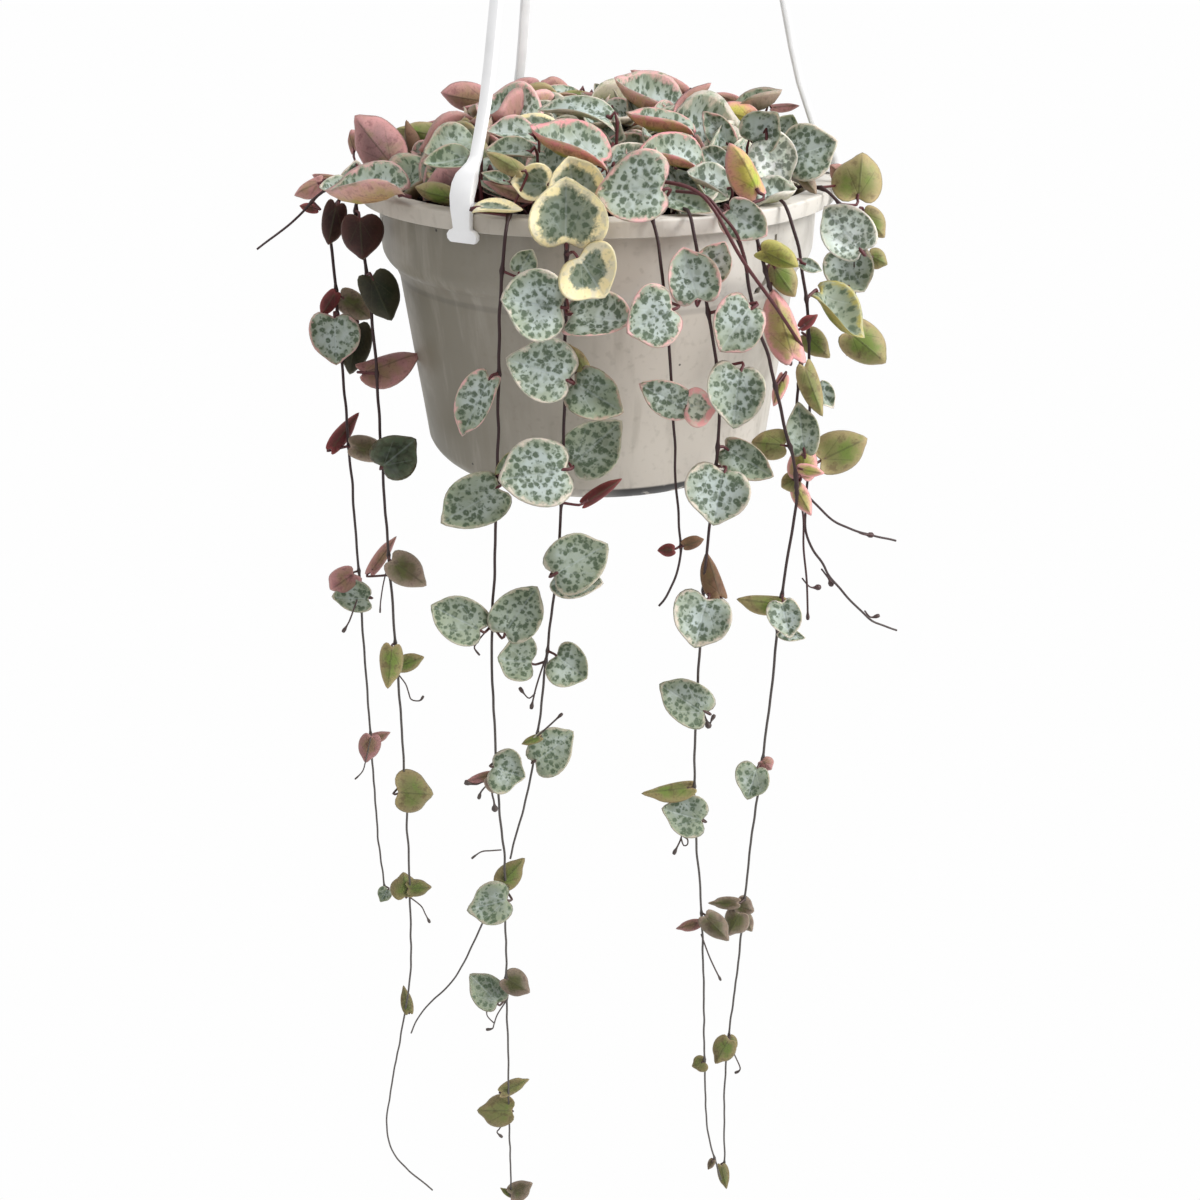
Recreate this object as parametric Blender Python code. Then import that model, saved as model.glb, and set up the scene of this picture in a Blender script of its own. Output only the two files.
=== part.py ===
"""A variegated string of hearts in a hanging nursery pot.

Metres, +Z up.  The origin is the inside crown of the hanger's hook, on the pot's own axis,
and the plant trails over the front of the rim, towards -Y.  The pot is a thin moulding with
a skirted rim and a wider collar, the hanger clips over the rim with three arms, the soil
fills the pot, and each trailing stem and each of its larger leaves is a piece of its own.
"""
import math
from dataclasses import dataclass

import bmesh
import bpy
from mathutils import Euler, Matrix, Vector

MM = 0.001
CLEARANCE = 0.3                 # gap kept between neighbouring pieces, mm

# Pot, mm.  Heights are measured down from the top of the rim.
RIM_Z = -265.0                  # top of the rim in the part's frame
RIM_RADIUS = 75.4
RIM_SKIRT = 4.7                 # depth of the rim's turned-down edge
COLLAR_RADIUS = 69.8
COLLAR_DEPTH = 18.0             # where the collar starts to round in
SHOULDER_DEPTH = 28.0           # where the body starts under the collar
BODY_TOP_RADIUS = 65.0
BODY_LOW_RADIUS = 60.2
BODY_LOW_DEPTH = 72.0
BASE_RADIUS = 47.5              # flat part of the base
BASE_ROUND = 12.0               # radius of the rounding between base and body
POT_HEIGHT = 90.0
WALL = 1.3
POT_STEPS = 40
WINDOW_AZIMUTHS = (46.0, 166.0, 286.0)
DRAIN_CIRCLE = 32.0
DRAIN_RADIUS = 3.0
DRAIN_COUNT = 6

# Soil, mm.
SOIL_DEPTH = 11.0               # surface of the soil below the top of the rim
SOIL_RISE = 1.5                 # how much the surface is heaped at the middle

# Hanger, mm.
ARM_AZIMUTHS = (-28.5, 92.0, 205.5)
ARM_WIDTH = 3.2
ARM_THICKNESS = 2.0
HUB_RADIUS = 8.0
HUB_TOP = -34.0
HUB_BOTTOM = -42.0
HOOK_RADIUS = 10.8              # centre line of the hook's round part
HOOK_TUBE = 1.8

# Plant, mm.
STEM_RADIUS = 0.55
RIM_SAMPLES = 9                 # points of a stem's line spent on its way over the rim
STALK_REACH = 12.0              # inside the rim, a leaf further off than this stands on the soil
STALK_WIDTH = 0.9
LEAF_THICKNESS = 1.5
LEAF_SEGMENTS = 15


def azimuth_point(azimuth, radius, z):
    """A point at an angle from the front, positive towards +X."""
    a = math.radians(azimuth)
    return Vector((radius * math.sin(a), -radius * math.cos(a), z))


def material(name, colour, roughness, metallic=0.0):
    """One Principled material."""
    mat = bpy.data.materials.new(name)
    mat.use_nodes = True
    bsdf = mat.node_tree.nodes["Principled BSDF"]
    bsdf.inputs["Base Color"].default_value = (*colour, 1.0)
    bsdf.inputs["Roughness"].default_value = roughness
    bsdf.inputs["Metallic"].default_value = metallic
    return mat


def finish(name, bm, mat, sharp=40.0):
    """Turn a bmesh in millimetres into a named object in metres."""
    bmesh.ops.remove_doubles(bm, verts=bm.verts, dist=0.001)
    bmesh.ops.recalc_face_normals(bm, faces=bm.faces)
    if bm.calc_volume(signed=True) < 0:
        bmesh.ops.reverse_faces(bm, faces=bm.faces)
    bmesh.ops.scale(bm, vec=(MM, MM, MM), verts=bm.verts)
    mesh = bpy.data.meshes.new(name)
    bm.to_mesh(mesh)
    bm.free()
    mesh.materials.append(mat)
    mesh.shade_smooth()
    mesh.set_sharp_from_angle(angle=math.radians(sharp))
    obj = bpy.data.objects.new(name, mesh)
    bpy.context.collection.objects.link(obj)
    return obj


def arc(centre_r, centre_z, radius, start, end, count):
    """Points of a round stretch of an outline, angles in degrees."""
    points = []
    for i in range(count + 1):
        a = math.radians(start + (end - start) * i / count)
        points.append((centre_r + radius * math.cos(a), centre_z + radius * math.sin(a)))
    return points


def spin_outline(outline, steps, z_offset):
    """A closed solid turned from an outline of (radius, z) points about the Z axis."""
    bm = bmesh.new()
    verts = [bm.verts.new((r, 0.0, z + z_offset)) for r, z in outline]
    edges = [bm.edges.new((a, b)) for a, b in zip(verts, verts[1:])]
    if outline[0][0] > 0.0:
        edges.append(bm.edges.new((verts[-1], verts[0])))
    bmesh.ops.spin(bm, geom=verts + edges, cent=(0, 0, 0), axis=(0, 0, 1),
                   angle=math.tau, steps=steps, use_merge=True)
    bmesh.ops.remove_doubles(bm, verts=bm.verts, dist=0.001)
    return bm


def cutter(name, size, location, azimuth=0.0, sides=0):
    """A box, or a prism when sides is given, that cuts a hole and is not a piece itself."""
    bm = bmesh.new()
    if sides:
        bmesh.ops.create_cone(bm, cap_ends=True, segments=sides, radius1=size[0], radius2=size[0],
                              depth=size[2])
    else:
        bmesh.ops.create_cube(bm, size=1.0)
        bmesh.ops.scale(bm, vec=size, verts=bm.verts)
    turn = Matrix.Rotation(math.radians(azimuth), 4, "Z")
    bmesh.ops.transform(bm, matrix=Matrix.Translation(location) @ turn, verts=bm.verts)
    bmesh.ops.scale(bm, vec=(MM, MM, MM), verts=bm.verts)
    mesh = bpy.data.meshes.new(name)
    bm.to_mesh(mesh)
    bm.free()
    obj = bpy.data.objects.new(name, mesh)
    bpy.context.collection.objects.link(obj)
    obj.hide_render = True
    obj.display_type = "WIRE"
    return obj


def apply_boolean(target, tool, operation):
    """Add an exact Boolean of another object to the target."""
    modifier = target.modifiers.new(tool.name, "BOOLEAN")
    modifier.operation = operation
    modifier.object = tool
    modifier.solver = "EXACT"


# ---------------------------------------------------------------- pot and soil

def inner_wall(gap=0.0):
    """The inside of the pot from the rim down to the floor's edge, or a line inside it."""
    points = [(COLLAR_RADIUS - WALL - gap, -0.5), (COLLAR_RADIUS - WALL - gap, -COLLAR_DEPTH)]
    points += arc(COLLAR_RADIUS - WALL - 6.0, -COLLAR_DEPTH, 6.0 - gap, -18, -54, 2)
    points += [(BODY_TOP_RADIUS - WALL - gap, -SHOULDER_DEPTH - 0.5),
               (BODY_LOW_RADIUS - WALL - gap, -BODY_LOW_DEPTH)]
    points += arc(BASE_RADIUS - WALL, -POT_HEIGHT + BASE_ROUND, BASE_ROUND - WALL - gap, -18, -90, 5)
    return points


def pot(mat):
    """The thin-walled pot: flat base, tapering body, collar and skirted rim."""
    outer = [(0.0, -POT_HEIGHT)]
    outer += arc(BASE_RADIUS, -POT_HEIGHT + BASE_ROUND, BASE_ROUND, -90, -18, 5)
    outer += [(BODY_LOW_RADIUS, -BODY_LOW_DEPTH), (BODY_TOP_RADIUS, -SHOULDER_DEPTH - 0.5)]
    outer += arc(COLLAR_RADIUS - 7.0, -COLLAR_DEPTH - 1.0, 7.0, -58, 0, 4)
    outer += [(COLLAR_RADIUS, -WALL), (RIM_RADIUS - WALL, -WALL),
              (RIM_RADIUS - WALL, -RIM_SKIRT), (RIM_RADIUS, -RIM_SKIRT)]
    outer += arc(RIM_RADIUS - 0.6, -0.6, 0.6, 0, 90, 2)
    outer += [(COLLAR_RADIUS - WALL + 0.5, 0.0)]
    bm = spin_outline(outer + inner_wall() + [(0.0, -POT_HEIGHT + WALL)], POT_STEPS, RIM_Z)
    body = finish("pot", bm, mat)
    for i, azimuth in enumerate(WINDOW_AZIMUTHS):
        window_at = azimuth_point(azimuth, COLLAR_RADIUS - 2.5, RIM_Z - SHOULDER_DEPTH + 4.5)
        apply_boolean(body, cutter(f"window_{i}", (2.8, 16.0, 6.5), window_at, azimuth), "DIFFERENCE")
        slot_at = azimuth_point(azimuth + 2.0, COLLAR_RADIUS - 0.6, RIM_Z - 11.0)
        apply_boolean(body, cutter(f"slot_{i}", (1.2, 4.0, 3.4), slot_at, azimuth), "DIFFERENCE")
    for i in range(DRAIN_COUNT):
        drain_at = azimuth_point(30 + 360 * i / DRAIN_COUNT, DRAIN_CIRCLE, RIM_Z - POT_HEIGHT + 0.6)
        drain = cutter(f"drain_{i}", (DRAIN_RADIUS, 0, 6.0), drain_at, 0.0, sides=10)
        apply_boolean(body, drain, "DIFFERENCE")
    return body


def soil(mat):
    """The plug of soil, clear of the pot's wall by the usual gap."""
    gap = CLEARANCE + 0.05
    wall = [(r, z) for r, z in inner_wall(gap) if z < -SOIL_DEPTH]
    outline = [(0.0, -POT_HEIGHT + WALL + gap)] + list(reversed(wall))
    outline += [(COLLAR_RADIUS - WALL - gap, -SOIL_DEPTH - 0.6),
                (COLLAR_RADIUS - WALL - 2.0, -SOIL_DEPTH),
                (COLLAR_RADIUS * 0.5, -SOIL_DEPTH + SOIL_RISE * 0.7),
                (0.0, -SOIL_DEPTH + SOIL_RISE)]
    return finish("soil", spin_outline(outline, POT_STEPS, RIM_Z), mat)


# ---------------------------------------------------------------- hanger

def strap(stations, azimuth, nose_between):
    """A flat arm swept through (radius, z, width, thickness), with a nose over the rim."""
    bm = bmesh.new()
    rings = []
    for i, (r, z, width, thickness) in enumerate(stations):
        before = stations[max(i - 1, 0)]
        after = stations[min(i + 1, len(stations) - 1)]
        along = Vector((after[0] - before[0], 0.0, after[1] - before[1])).normalized()
        out = Vector((-along.z, 0.0, along.x))
        centre = Vector((r, 0.0, z))
        ring = []
        for side, face in ((1, 1), (-1, 1), (-1, -1), (1, -1)):
            corner = centre + Vector((0, side * width / 2, 0)) + out * (face * thickness / 2)
            ring.append(bm.verts.new(corner))
        rings.append(ring)
    nose = None
    for i, (a, b) in enumerate(zip(rings, rings[1:])):
        for k in range(4):
            face = bm.faces.new((a[k], a[(k + 1) % 4], b[(k + 1) % 4], b[k]))
            towards_axis = face.calc_center_median().x < (stations[i][0] + stations[i + 1][0]) / 2 - 0.2
            if i == nose_between and towards_axis and k in (0, 2):
                nose = face
    bm.faces.new(rings[0])
    bm.faces.new(list(reversed(rings[-1])))
    bmesh.ops.recalc_face_normals(bm, faces=bm.faces)
    grown = bmesh.ops.extrude_face_region(bm, geom=[nose])
    tip = [v for v in grown["geom"] if isinstance(v, bmesh.types.BMVert)]
    bmesh.ops.delete(bm, geom=[nose], context="FACES_ONLY")
    bmesh.ops.translate(bm, vec=(-6.5, 0, 0), verts=tip)
    turn = Matrix.Rotation(math.radians(azimuth - 90.0), 4, "Z")
    bmesh.ops.transform(bm, matrix=turn, verts=bm.verts)
    return bm


def arm_stations():
    """The centre line and section of one arm, from the hub down to its foot."""
    gap = RIM_RADIUS + CLEARANCE + 1.0
    return [(4.0, HUB_BOTTOM + 4.0, ARM_WIDTH, 3.0),
            (9.0, HUB_BOTTOM - 1.5, ARM_WIDTH, 2.6),
            (14.0, -70.0, ARM_WIDTH, ARM_THICKNESS),
            (30.0, -122.0, ARM_WIDTH, ARM_THICKNESS),
            (45.0, -174.0, ARM_WIDTH, ARM_THICKNESS),
            (56.2, RIM_Z + 50.0, ARM_WIDTH, ARM_THICKNESS),
            (63.0, RIM_Z + 27.0, ARM_WIDTH, ARM_THICKNESS),
            (68.6, RIM_Z + 14.0, ARM_WIDTH, ARM_THICKNESS),
            (72.5, RIM_Z + 8.5, 3.8, 2.4),
            (75.4, RIM_Z + 4.6, 6.4, 2.6),
            (gap, RIM_Z + 2.4, 7.0, 2.0),
            (gap, RIM_Z + 0.4, 6.6, 2.0),
            (gap, RIM_Z - 4.6, 5.2, 2.0),
            (gap, RIM_Z - 4.8, 9.6, 2.2),
            (gap, RIM_Z - 7.0, 8.6, 1.8)]


def swept_round(path, radius, sides):
    """A round bar that follows a path lying in the XZ plane, with flat ends."""
    bm = bmesh.new()
    rings = []
    for i, place in enumerate(path):
        along = (path[min(i + 1, len(path) - 1)] - path[max(i - 1, 0)]).normalized()
        turn = along.to_track_quat("Z", "Y").to_matrix().to_4x4()
        made = bmesh.ops.create_circle(bm, cap_ends=False, segments=sides, radius=radius,
                                       matrix=Matrix.Translation(place) @ turn)
        rings.append(made["verts"])
    for a, b in zip(rings, rings[1:]):
        shift = min(range(sides), key=lambda k: (b[k].co - a[0].co).length)
        for k in range(sides):
            n = (k + 1) % sides
            bm.faces.new((a[k], a[n], b[(n + shift) % sides], b[(k + shift) % sides]))
    bm.faces.new(rings[0])
    bm.faces.new(rings[-1])
    return bm


def hanger(mat):
    """Hook, hub and three clip-on arms, united in one moulding."""
    bm = bmesh.new()
    bmesh.ops.create_cone(bm, cap_ends=True, segments=20, radius1=HUB_RADIUS,
                          radius2=HUB_RADIUS * 0.75, depth=HUB_TOP - HUB_BOTTOM)
    bmesh.ops.translate(bm, vec=(0, 0, (HUB_TOP + HUB_BOTTOM) / 2), verts=bm.verts)
    body = finish("hanger", bm, mat)
    stations = arm_stations()
    for i, azimuth in enumerate(ARM_AZIMUTHS):
        arm = finish(f"arm_{i}", strap(stations, azimuth, 10), mat)
        arm.hide_render = True
        arm.display_type = "WIRE"
        apply_boolean(body, arm, "UNION")
    crown_z = -(HOOK_RADIUS - HOOK_TUBE)
    path = [Vector((0, 0, HUB_TOP - 3.0)), Vector((0, 0, -28.5))]
    for degrees in range(-56, 205, 20):
        a = math.radians(degrees)
        path.append(Vector((HOOK_RADIUS * math.cos(a), 0, crown_z + HOOK_RADIUS * math.sin(a))))
    hook = finish("hook", swept_round(path, HOOK_TUBE, 10), mat)
    hook.hide_render = True
    hook.display_type = "WIRE"
    apply_boolean(body, hook, "UNION")
    return body


# ---------------------------------------------------------------- plant

def smooth_line(points, first, count):
    """A Catmull-Rom curve through the points, sampled at even steps of length.

    The stretch over the rim, up to the point numbered first, gets a share of its own.
    """
    fine = []
    for i in range(len(points) - 1):
        p0 = points[max(i - 1, 0)]
        p1 = points[i]
        p2 = points[i + 1]
        p3 = points[min(i + 2, len(points) - 1)]
        for k in range(12):
            t = k / 12
            fine.append(0.5 * ((2 * p1) + (p2 - p0) * t + (2 * p0 - 5 * p1 + 4 * p2 - p3) * t * t
                               + (3 * p1 - p0 - 3 * p2 + p3) * t ** 3))
    fine.append(points[-1].copy())
    lengths = [0.0]
    for a, b in zip(fine, fine[1:]):
        lengths.append(lengths[-1] + (b - a).length)
    over_rim = lengths[12 * first]
    wants = [over_rim * i / RIM_SAMPLES for i in range(RIM_SAMPLES)] if first else []
    rest = count - len(wants)
    wants += [over_rim + (lengths[-1] - over_rim) * i / (rest - 1) for i in range(rest)]
    line = []
    k = 0
    for want in wants:
        while k < len(lengths) - 2 and lengths[k + 1] < want:
            k += 1
        span = max(lengths[k + 1] - lengths[k], 1e-9)
        line.append(fine[k].lerp(fine[k + 1], (want - lengths[k]) / span))
    return line


def tube(name, points, radius, mat, resolution=2):
    """A capped round tube along points in metres."""
    curve = bpy.data.curves.new(name, "CURVE")
    curve.dimensions = "3D"
    curve.bevel_depth = radius
    curve.bevel_resolution = resolution
    curve.use_fill_caps = True
    spline = curve.splines.new("POLY")
    spline.points.add(len(points) - 1)
    for point, place in zip(spline.points, points):
        point.co = (*place, 1.0)
    curve.materials.append(mat)
    obj = bpy.data.objects.new(name, curve)
    bpy.context.collection.objects.link(obj)
    return obj


@dataclass(frozen=True)
class Stem:
    """A trailing stem: where it crosses the rim and the points that it hangs through, mm."""

    name: str
    azimuth: float
    hangs: tuple
    samples: int = 30
    rooted: bool = True

    def line(self):
        """The stem's centre line in millimetres."""
        points = [Vector(p) for p in self.hangs]
        if self.rooted:
            start = [azimuth_point(self.azimuth, 50, RIM_Z - SOIL_DEPTH + 2.8),
                     azimuth_point(self.azimuth, 59, RIM_Z - 4.6),
                     azimuth_point(self.azimuth, 66.5, RIM_Z + 0.9),
                     azimuth_point(self.azimuth, 71.5, RIM_Z + 1.5),
                     azimuth_point(self.azimuth, 76.4, RIM_Z + 0.9)]
            return smooth_line(start + points, len(start), self.samples)
        return smooth_line(points, 0, self.samples)


STEMS = (
    Stem("stem_left_outer", -78, ((-83, -17, -276), (-84, -17, -298), (-85, -17, -345), (-86, -17, -387),
                                  (-88, -17, -450), (-90, -17, -513), (-90, -17, -542), (-89, -17, -552))),
    Stem("stem_left_inner", -67, ((-73, -29, -273), (-71, -30, -289), (-71, -30, -323), (-72, -30, -366),
                                  (-73, -30, -420), (-74, -30, -471), (-77, -30, -544), (-81, -30, -592),
                                  (-93, -30, -651), (-98, -30, -680), (-97, -30, -699), (-91, -30, -712),
                                  (-80, -30, -728)), 36),
    Stem("stem_centre_left", -18, ((-25, -77, -273), (-27, -76, -294), (-29, -75, -330), (-31, -73, -360),
                                   (-34, -73, -403), (-34, -73, -463), (-33, -73, -486), (-34, -73, -524),
                                   (-36, -73, -605), (-37, -73, -661), (-37, -73, -712)), 32),
    Stem("stem_centre", -6, ((-8, -79, -272), (-9, -80, -304), (-10, -78, -335), (-12, -76, -364),
                             (-16, -75, -398), (-22, -74, -445), (-31, -74, -484)), 26),
    Stem("stem_centre_right", 11, ((17, -79, -275), (20, -79, -299), (23, -78, -338), (25, -78, -363),
                                   (22, -78, -375), (19, -78, -380)), 22),
    Stem("stem_right_inner", 19, ((27, -77, -274), (34, -76, -308), (35, -74, -333), (33, -74, -377),
                                  (33, -74, -454), (38, -74, -513), (42, -74, -586), (45, -74, -628),
                                  (52, -74, -659)), 32),
    Stem("stem_right", 26, ((39, -73, -273), (44, -74, -292), (49, -73, -305), (54, -70, -322),
                            (60, -66, -341), (61, -64, -356), (59, -64, -387), (58, -64, -428),
                            (55, -64, -493), (54, -64, -543), (52, -64, -600), (54, -64, -653),
                            (56, -64, -677)), 36),
    Stem("stem_right_side", 33, ((46, -66, -278), (54, -60, -300), (60, -58, -308), (60, -58, -321),
                                 (62, -60, -345), (66, -58, -352), (76, -52, -363), (86, -46, -370),
                                 (100, -40, -376)), 30),
    Stem("stem_far_right", 43, ((56, -57, -273), (60, -56, -288), (63, -54, -306), (65, -55, -330),
                                (66, -54, -348), (66, -59, -364), (72, -58, -375), (77, -56, -383),
                                (91, -52, -399), (102, -48, -406)), 30),
    Stem("shoot_far_left", -73, ((-78, -25, -264), (-84, -27, -267), (-92, -32, -274),
                                 (-101, -40, -280)), 16),
    Stem("shoot_low", 0, ((-34, -74.5, -496), (-41, -75, -511), (-53, -76, -539), (-66, -77, -555),
                          (-72, -77, -568)), 12, False),
)


@dataclass(frozen=True)
class Leaf:
    """One heart-shaped leaf: its stem, where its blade starts, how it is turned and its size.

    The turn is heading, pitch and roll in degrees: with all three at zero the leaf lies face
    up with its tip towards +Y.  The fold lifts the two halves about the midrib.
    """

    name: str
    stem: str
    at: tuple
    turn: tuple
    length: float
    width: float
    fold: float


LEAVES = (
    Leaf("leaf_wing", "stem_left_inner", (-54.5, -53, -262), (84, -12, -5), 22.5, 17, 36),
    Leaf("leaf_mauve_side", "stem_left_outer", (-63.5, -8, -261), (84, 48, 100), 19, 15, 22),
    Leaf("leaf_silver_left", "stem_left_outer", (-84, -23, -305), (175, -75, -20), 15, 16, 8),
    Leaf("leaf_shade_left", "stem_left_inner", (-71, -34, -272), (-165, -80, -175), 11.5, 12.5, 8),
    Leaf("leaf_dark_left", "stem_left_inner", (-69, -34, -289.5), (-115, -65, -125), 14.5, 12, 8),
    Leaf("leaf_olive_left", "stem_left_inner", (-71, -34, -352), (-65, 35, 65), 14.5, 15, 8),
    Leaf("leaf_olive_low", "stem_left_inner", (-76, -37, -484), (-80, -5, -125), 13.5, 16.5, 8),
    Leaf("leaf_mauve_back", "stem_centre_left", (-37, 38, -247), (95, 5, 85), 17, 10, 16),
    Leaf("leaf_tip_down", "stem_centre_left", (-30, -79, -307), (110, -60, -50), 18.5, 10.5, 18),
    Leaf("leaf_base_left", "stem_centre_left", (-29, -78.5, -340), (110, -30, -65), 20, 15.5, 8),
    Leaf("leaf_pair_left", "stem_centre_left", (-36.5, -77.5, -389), (80, 25, -55), 17.5, 14.5, 8),
    Leaf("leaf_pair_right", "stem_centre_left", (-29, -78, -390), (-50, 45, 45), 18, 15.5, 8),
    Leaf("leaf_low_left", "stem_centre_left", (-32, -79, -499), (100, -5, -50), 15, 14.5, 8),
    Leaf("leaf_silver_long", "stem_centre", (4, -36, -243.8), (77, 6, -22), 22, 12, 16),
    Leaf("leaf_lilac", "stem_centre", (1.5, -60, -253.5), (91, 17, -4), 22, 14, 34),
    Leaf("leaf_cream_top", "stem_centre", (-8, -84, -269), (0, 80, 0), 16.5, 20, 6),
    Leaf("leaf_cream_right", "stem_centre", (-5, -87, -272), (-105, -50, 70), 12.5, 16.5, 8),
    Leaf("leaf_cream_left", "stem_centre", (-9.5, -88.5, -284.5), (90, 5, -75), 16, 18, 8),
    Leaf("leaf_pink_under", "stem_centre", (-7, -84, -287.5), (-95, -10, 50), 17, 14, 8),
    Leaf("leaf_mint_mid", "stem_centre", (-8, -87, -305), (85, 20, -70), 17.5, 17, 8),
    Leaf("leaf_grey_tip", "stem_centre", (-6.5, -82.5, -307.5), (-100, -25, 70), 16, 14, 8),
    Leaf("leaf_mint_low", "stem_centre", (-9, -87, -331), (95, -10, -70), 19, 20, 8),
    Leaf("leaf_tip_up", "stem_centre", (-7, -75, -335), (-65, 40, 60), 19, 16, 8),
    Leaf("leaf_twin_top", "stem_centre", (-13, -82, -367), (-75, 25, 60), 19, 17, 8),
    Leaf("leaf_twin_low", "stem_centre", (-13, -78, -398), (-110, -30, 55), 12, 14.5, 8),
    Leaf("leaf_crown_top", "stem_centre_right", (26, 6, -247), (86, 20, -16), 23.5, 15, 30),
    Leaf("leaf_two_lobed", "stem_centre_right", (17, -82, -256), (85, 0, -80), 17, 17.5, 14),
    Leaf("leaf_front_right", "stem_centre_right", (20, -89, -285), (95, -25, -75), 13.5, 16, 8),
    Leaf("leaf_notch_down", "stem_right_inner", (26.5, -83, -284), (40, 70, -40), 14, 14, 8),
    Leaf("leaf_orange_top", "stem_right_inner", (42, -80, -287), (100, -50, -70), 14.5, 14.5, 8),
    Leaf("leaf_white_low", "stem_right_inner", (40, -80, -304), (150, -70, -25), 16.5, 16, 8),
    Leaf("leaf_heart_down", "stem_right_inner", (37, -79, -335), (145, -65, -25), 16, 19, 8),
    Leaf("leaf_mint_heart", "stem_right_inner", (34, -79, -377), (145, -60, -25), 15.5, 18.5, 8),
    Leaf("leaf_tip_left", "stem_right_inner", (35, -80, -418), (70, 20, -55), 17.5, 14.5, 8),
    Leaf("leaf_crown_right", "stem_right", (56, -34, -255), (-95, 20, 80), 14.5, 15.5, 8),
    Leaf("leaf_pale_round", "stem_right", (48, -42, -249), (-110, -60, 75), 14, 13, 8),
    Leaf("leaf_fold_upright", "stem_right", (44, -63, -260), (90, 60, 110), 15, 8.5, 36),
    Leaf("leaf_spotted_front", "stem_right", (35, -74, -262), (-105, -35, 80), 12.5, 10.5, 8),
    Leaf("leaf_olive_right", "stem_right", (69, -58, -340), (-90, 30, -115), 15, 13.5, 8),
    Leaf("leaf_pink_long", "stem_right_side", (55, -70, -304), (40, 70, 145), 20, 10, 20),
    Leaf("leaf_olive_crown", "stem_far_right", (77.5, -31.5, -267), (-30, 80, -160), 13, 15, 10),
    Leaf("leaf_heart_right", "stem_far_right", (75.5, -53.5, -277.5), (65, 45, -75), 16.5, 14, 8),
    Leaf("leaf_heart_low", "stem_far_right", (73.5, -36, -281), (-120, -55, 70), 14.5, 14.5, 8),
    Leaf("leaf_yellow_edge", "stem_far_right", (64, -52, -290.3), (-90, -50, 70), 19, 10, 30),
    Leaf("leaf_olive_tip", "stem_far_right", (76, -44, -304), (-110, -30, -110), 15, 12, 10),
)


def heart_point(angle, length, width):
    """A point of the heart outline at an angle from the tip; the notch is at the origin."""
    tip = 0.13 * math.exp(-(angle / 0.24) ** 2)
    notch = 0.36 * math.exp(-((math.pi - abs(angle)) / 0.42) ** 2)
    reach = length / 1.77
    radius = reach * (1.0 + tip - notch)
    across = math.sin(angle) * radius / reach * (1.0 - 0.07 * math.cos(angle)) * width / 2.0
    return across, radius * math.cos(angle) + 0.64 * reach


def stalk_end(spec, start, stem_line):
    """Where a leaf's stalk stops: just short of its stem, or of the soil beneath it."""
    nearest = None
    for a, b in zip(stem_line, stem_line[1:]):
        share = min(max((start - a).dot(b - a) / (b - a).length_squared, 0.0), 1.0)
        place = a.lerp(b, share)
        if nearest is None or (place - start).length < (nearest - start).length:
            nearest = place
    radius = math.hypot(start.x, start.y)
    if radius > RIM_RADIUS - 2.0 or (nearest - start).length < STALK_REACH:
        away = (start - nearest).normalized()
        return nearest + away * (STEM_RADIUS + CLEARANCE + 0.1)
    inward = min(1.0, 60.0 / radius)
    heap = SOIL_RISE * (1.0 - min(1.0, radius * inward / COLLAR_RADIUS))
    return Vector((start.x * inward, start.y * inward, RIM_Z - SOIL_DEPTH + heap + CLEARANCE + 0.4))


def leaf(spec, mat, stem_line):
    """A cupped heart-shaped plate with a stalk that reaches towards its stem."""
    bm = bmesh.new()
    fold = math.tan(math.radians(spec.fold))
    centre_y = 0.64 * spec.length / 1.77
    droop = 0.012 if spec.fold < 30.0 else -0.010      # a leaf folded like a boat lifts its ends

    def lift(x, y):
        """Height of the blade's middle surface."""
        ridge = math.hypot(x, 0.1 * spec.width) - 0.1 * spec.width
        return fold * ridge - droop * (y - centre_y) ** 2

    edge = {}
    for side in (1, -1):
        rings = []
        for share, rise in ((0.0, 1.0), (0.62, 1.0), (1.0, 0.42)):
            ring = []
            for k in range(LEAF_SEGMENTS if share else 1):
                angle = math.remainder(math.tau * k / LEAF_SEGMENTS, math.tau)
                x, y = heart_point(angle, spec.length, spec.width)
                x, y = x * share, centre_y + (y - centre_y) * share
                z = lift(x, y) + side * rise * LEAF_THICKNESS / 2
                ring.append(bm.verts.new((x, y, z)))
            rings.append(ring)
        edge[side] = rings[2]
        for k in range(LEAF_SEGMENTS):
            n = (k + 1) % LEAF_SEGMENTS
            bm.faces.new((rings[0][0], rings[1][k], rings[1][n]))
            bm.faces.new((rings[1][k], rings[2][k], rings[2][n], rings[1][n]))
    for k in range(LEAF_SEGMENTS):
        n = (k + 1) % LEAF_SEGMENTS
        face = bm.faces.new((edge[1][k], edge[-1][k], edge[-1][n], edge[1][n]))
        if k == LEAF_SEGMENTS // 2:
            notch = face
    bmesh.ops.recalc_face_normals(bm, faces=bm.faces)
    heading, pitch, roll = (math.radians(a) for a in spec.turn)
    turn = Euler((pitch, roll, heading), "YXZ").to_matrix().to_4x4()
    place = Matrix.Translation(spec.at) @ turn
    end = stalk_end(spec, Vector(spec.at), stem_line)
    local_end = place.inverted() @ end
    start = notch.calc_center_median()
    under = 1.0 if local_end.z > 0 else -1.0
    elbow = start + Vector((0.0, -0.8, 0.7 * under))
    bmesh.ops.transform(bm, matrix=place, verts=bm.verts)
    extend_stalk(bm, notch, place @ elbow, end)
    return finish(spec.name, bm, mat)


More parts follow.
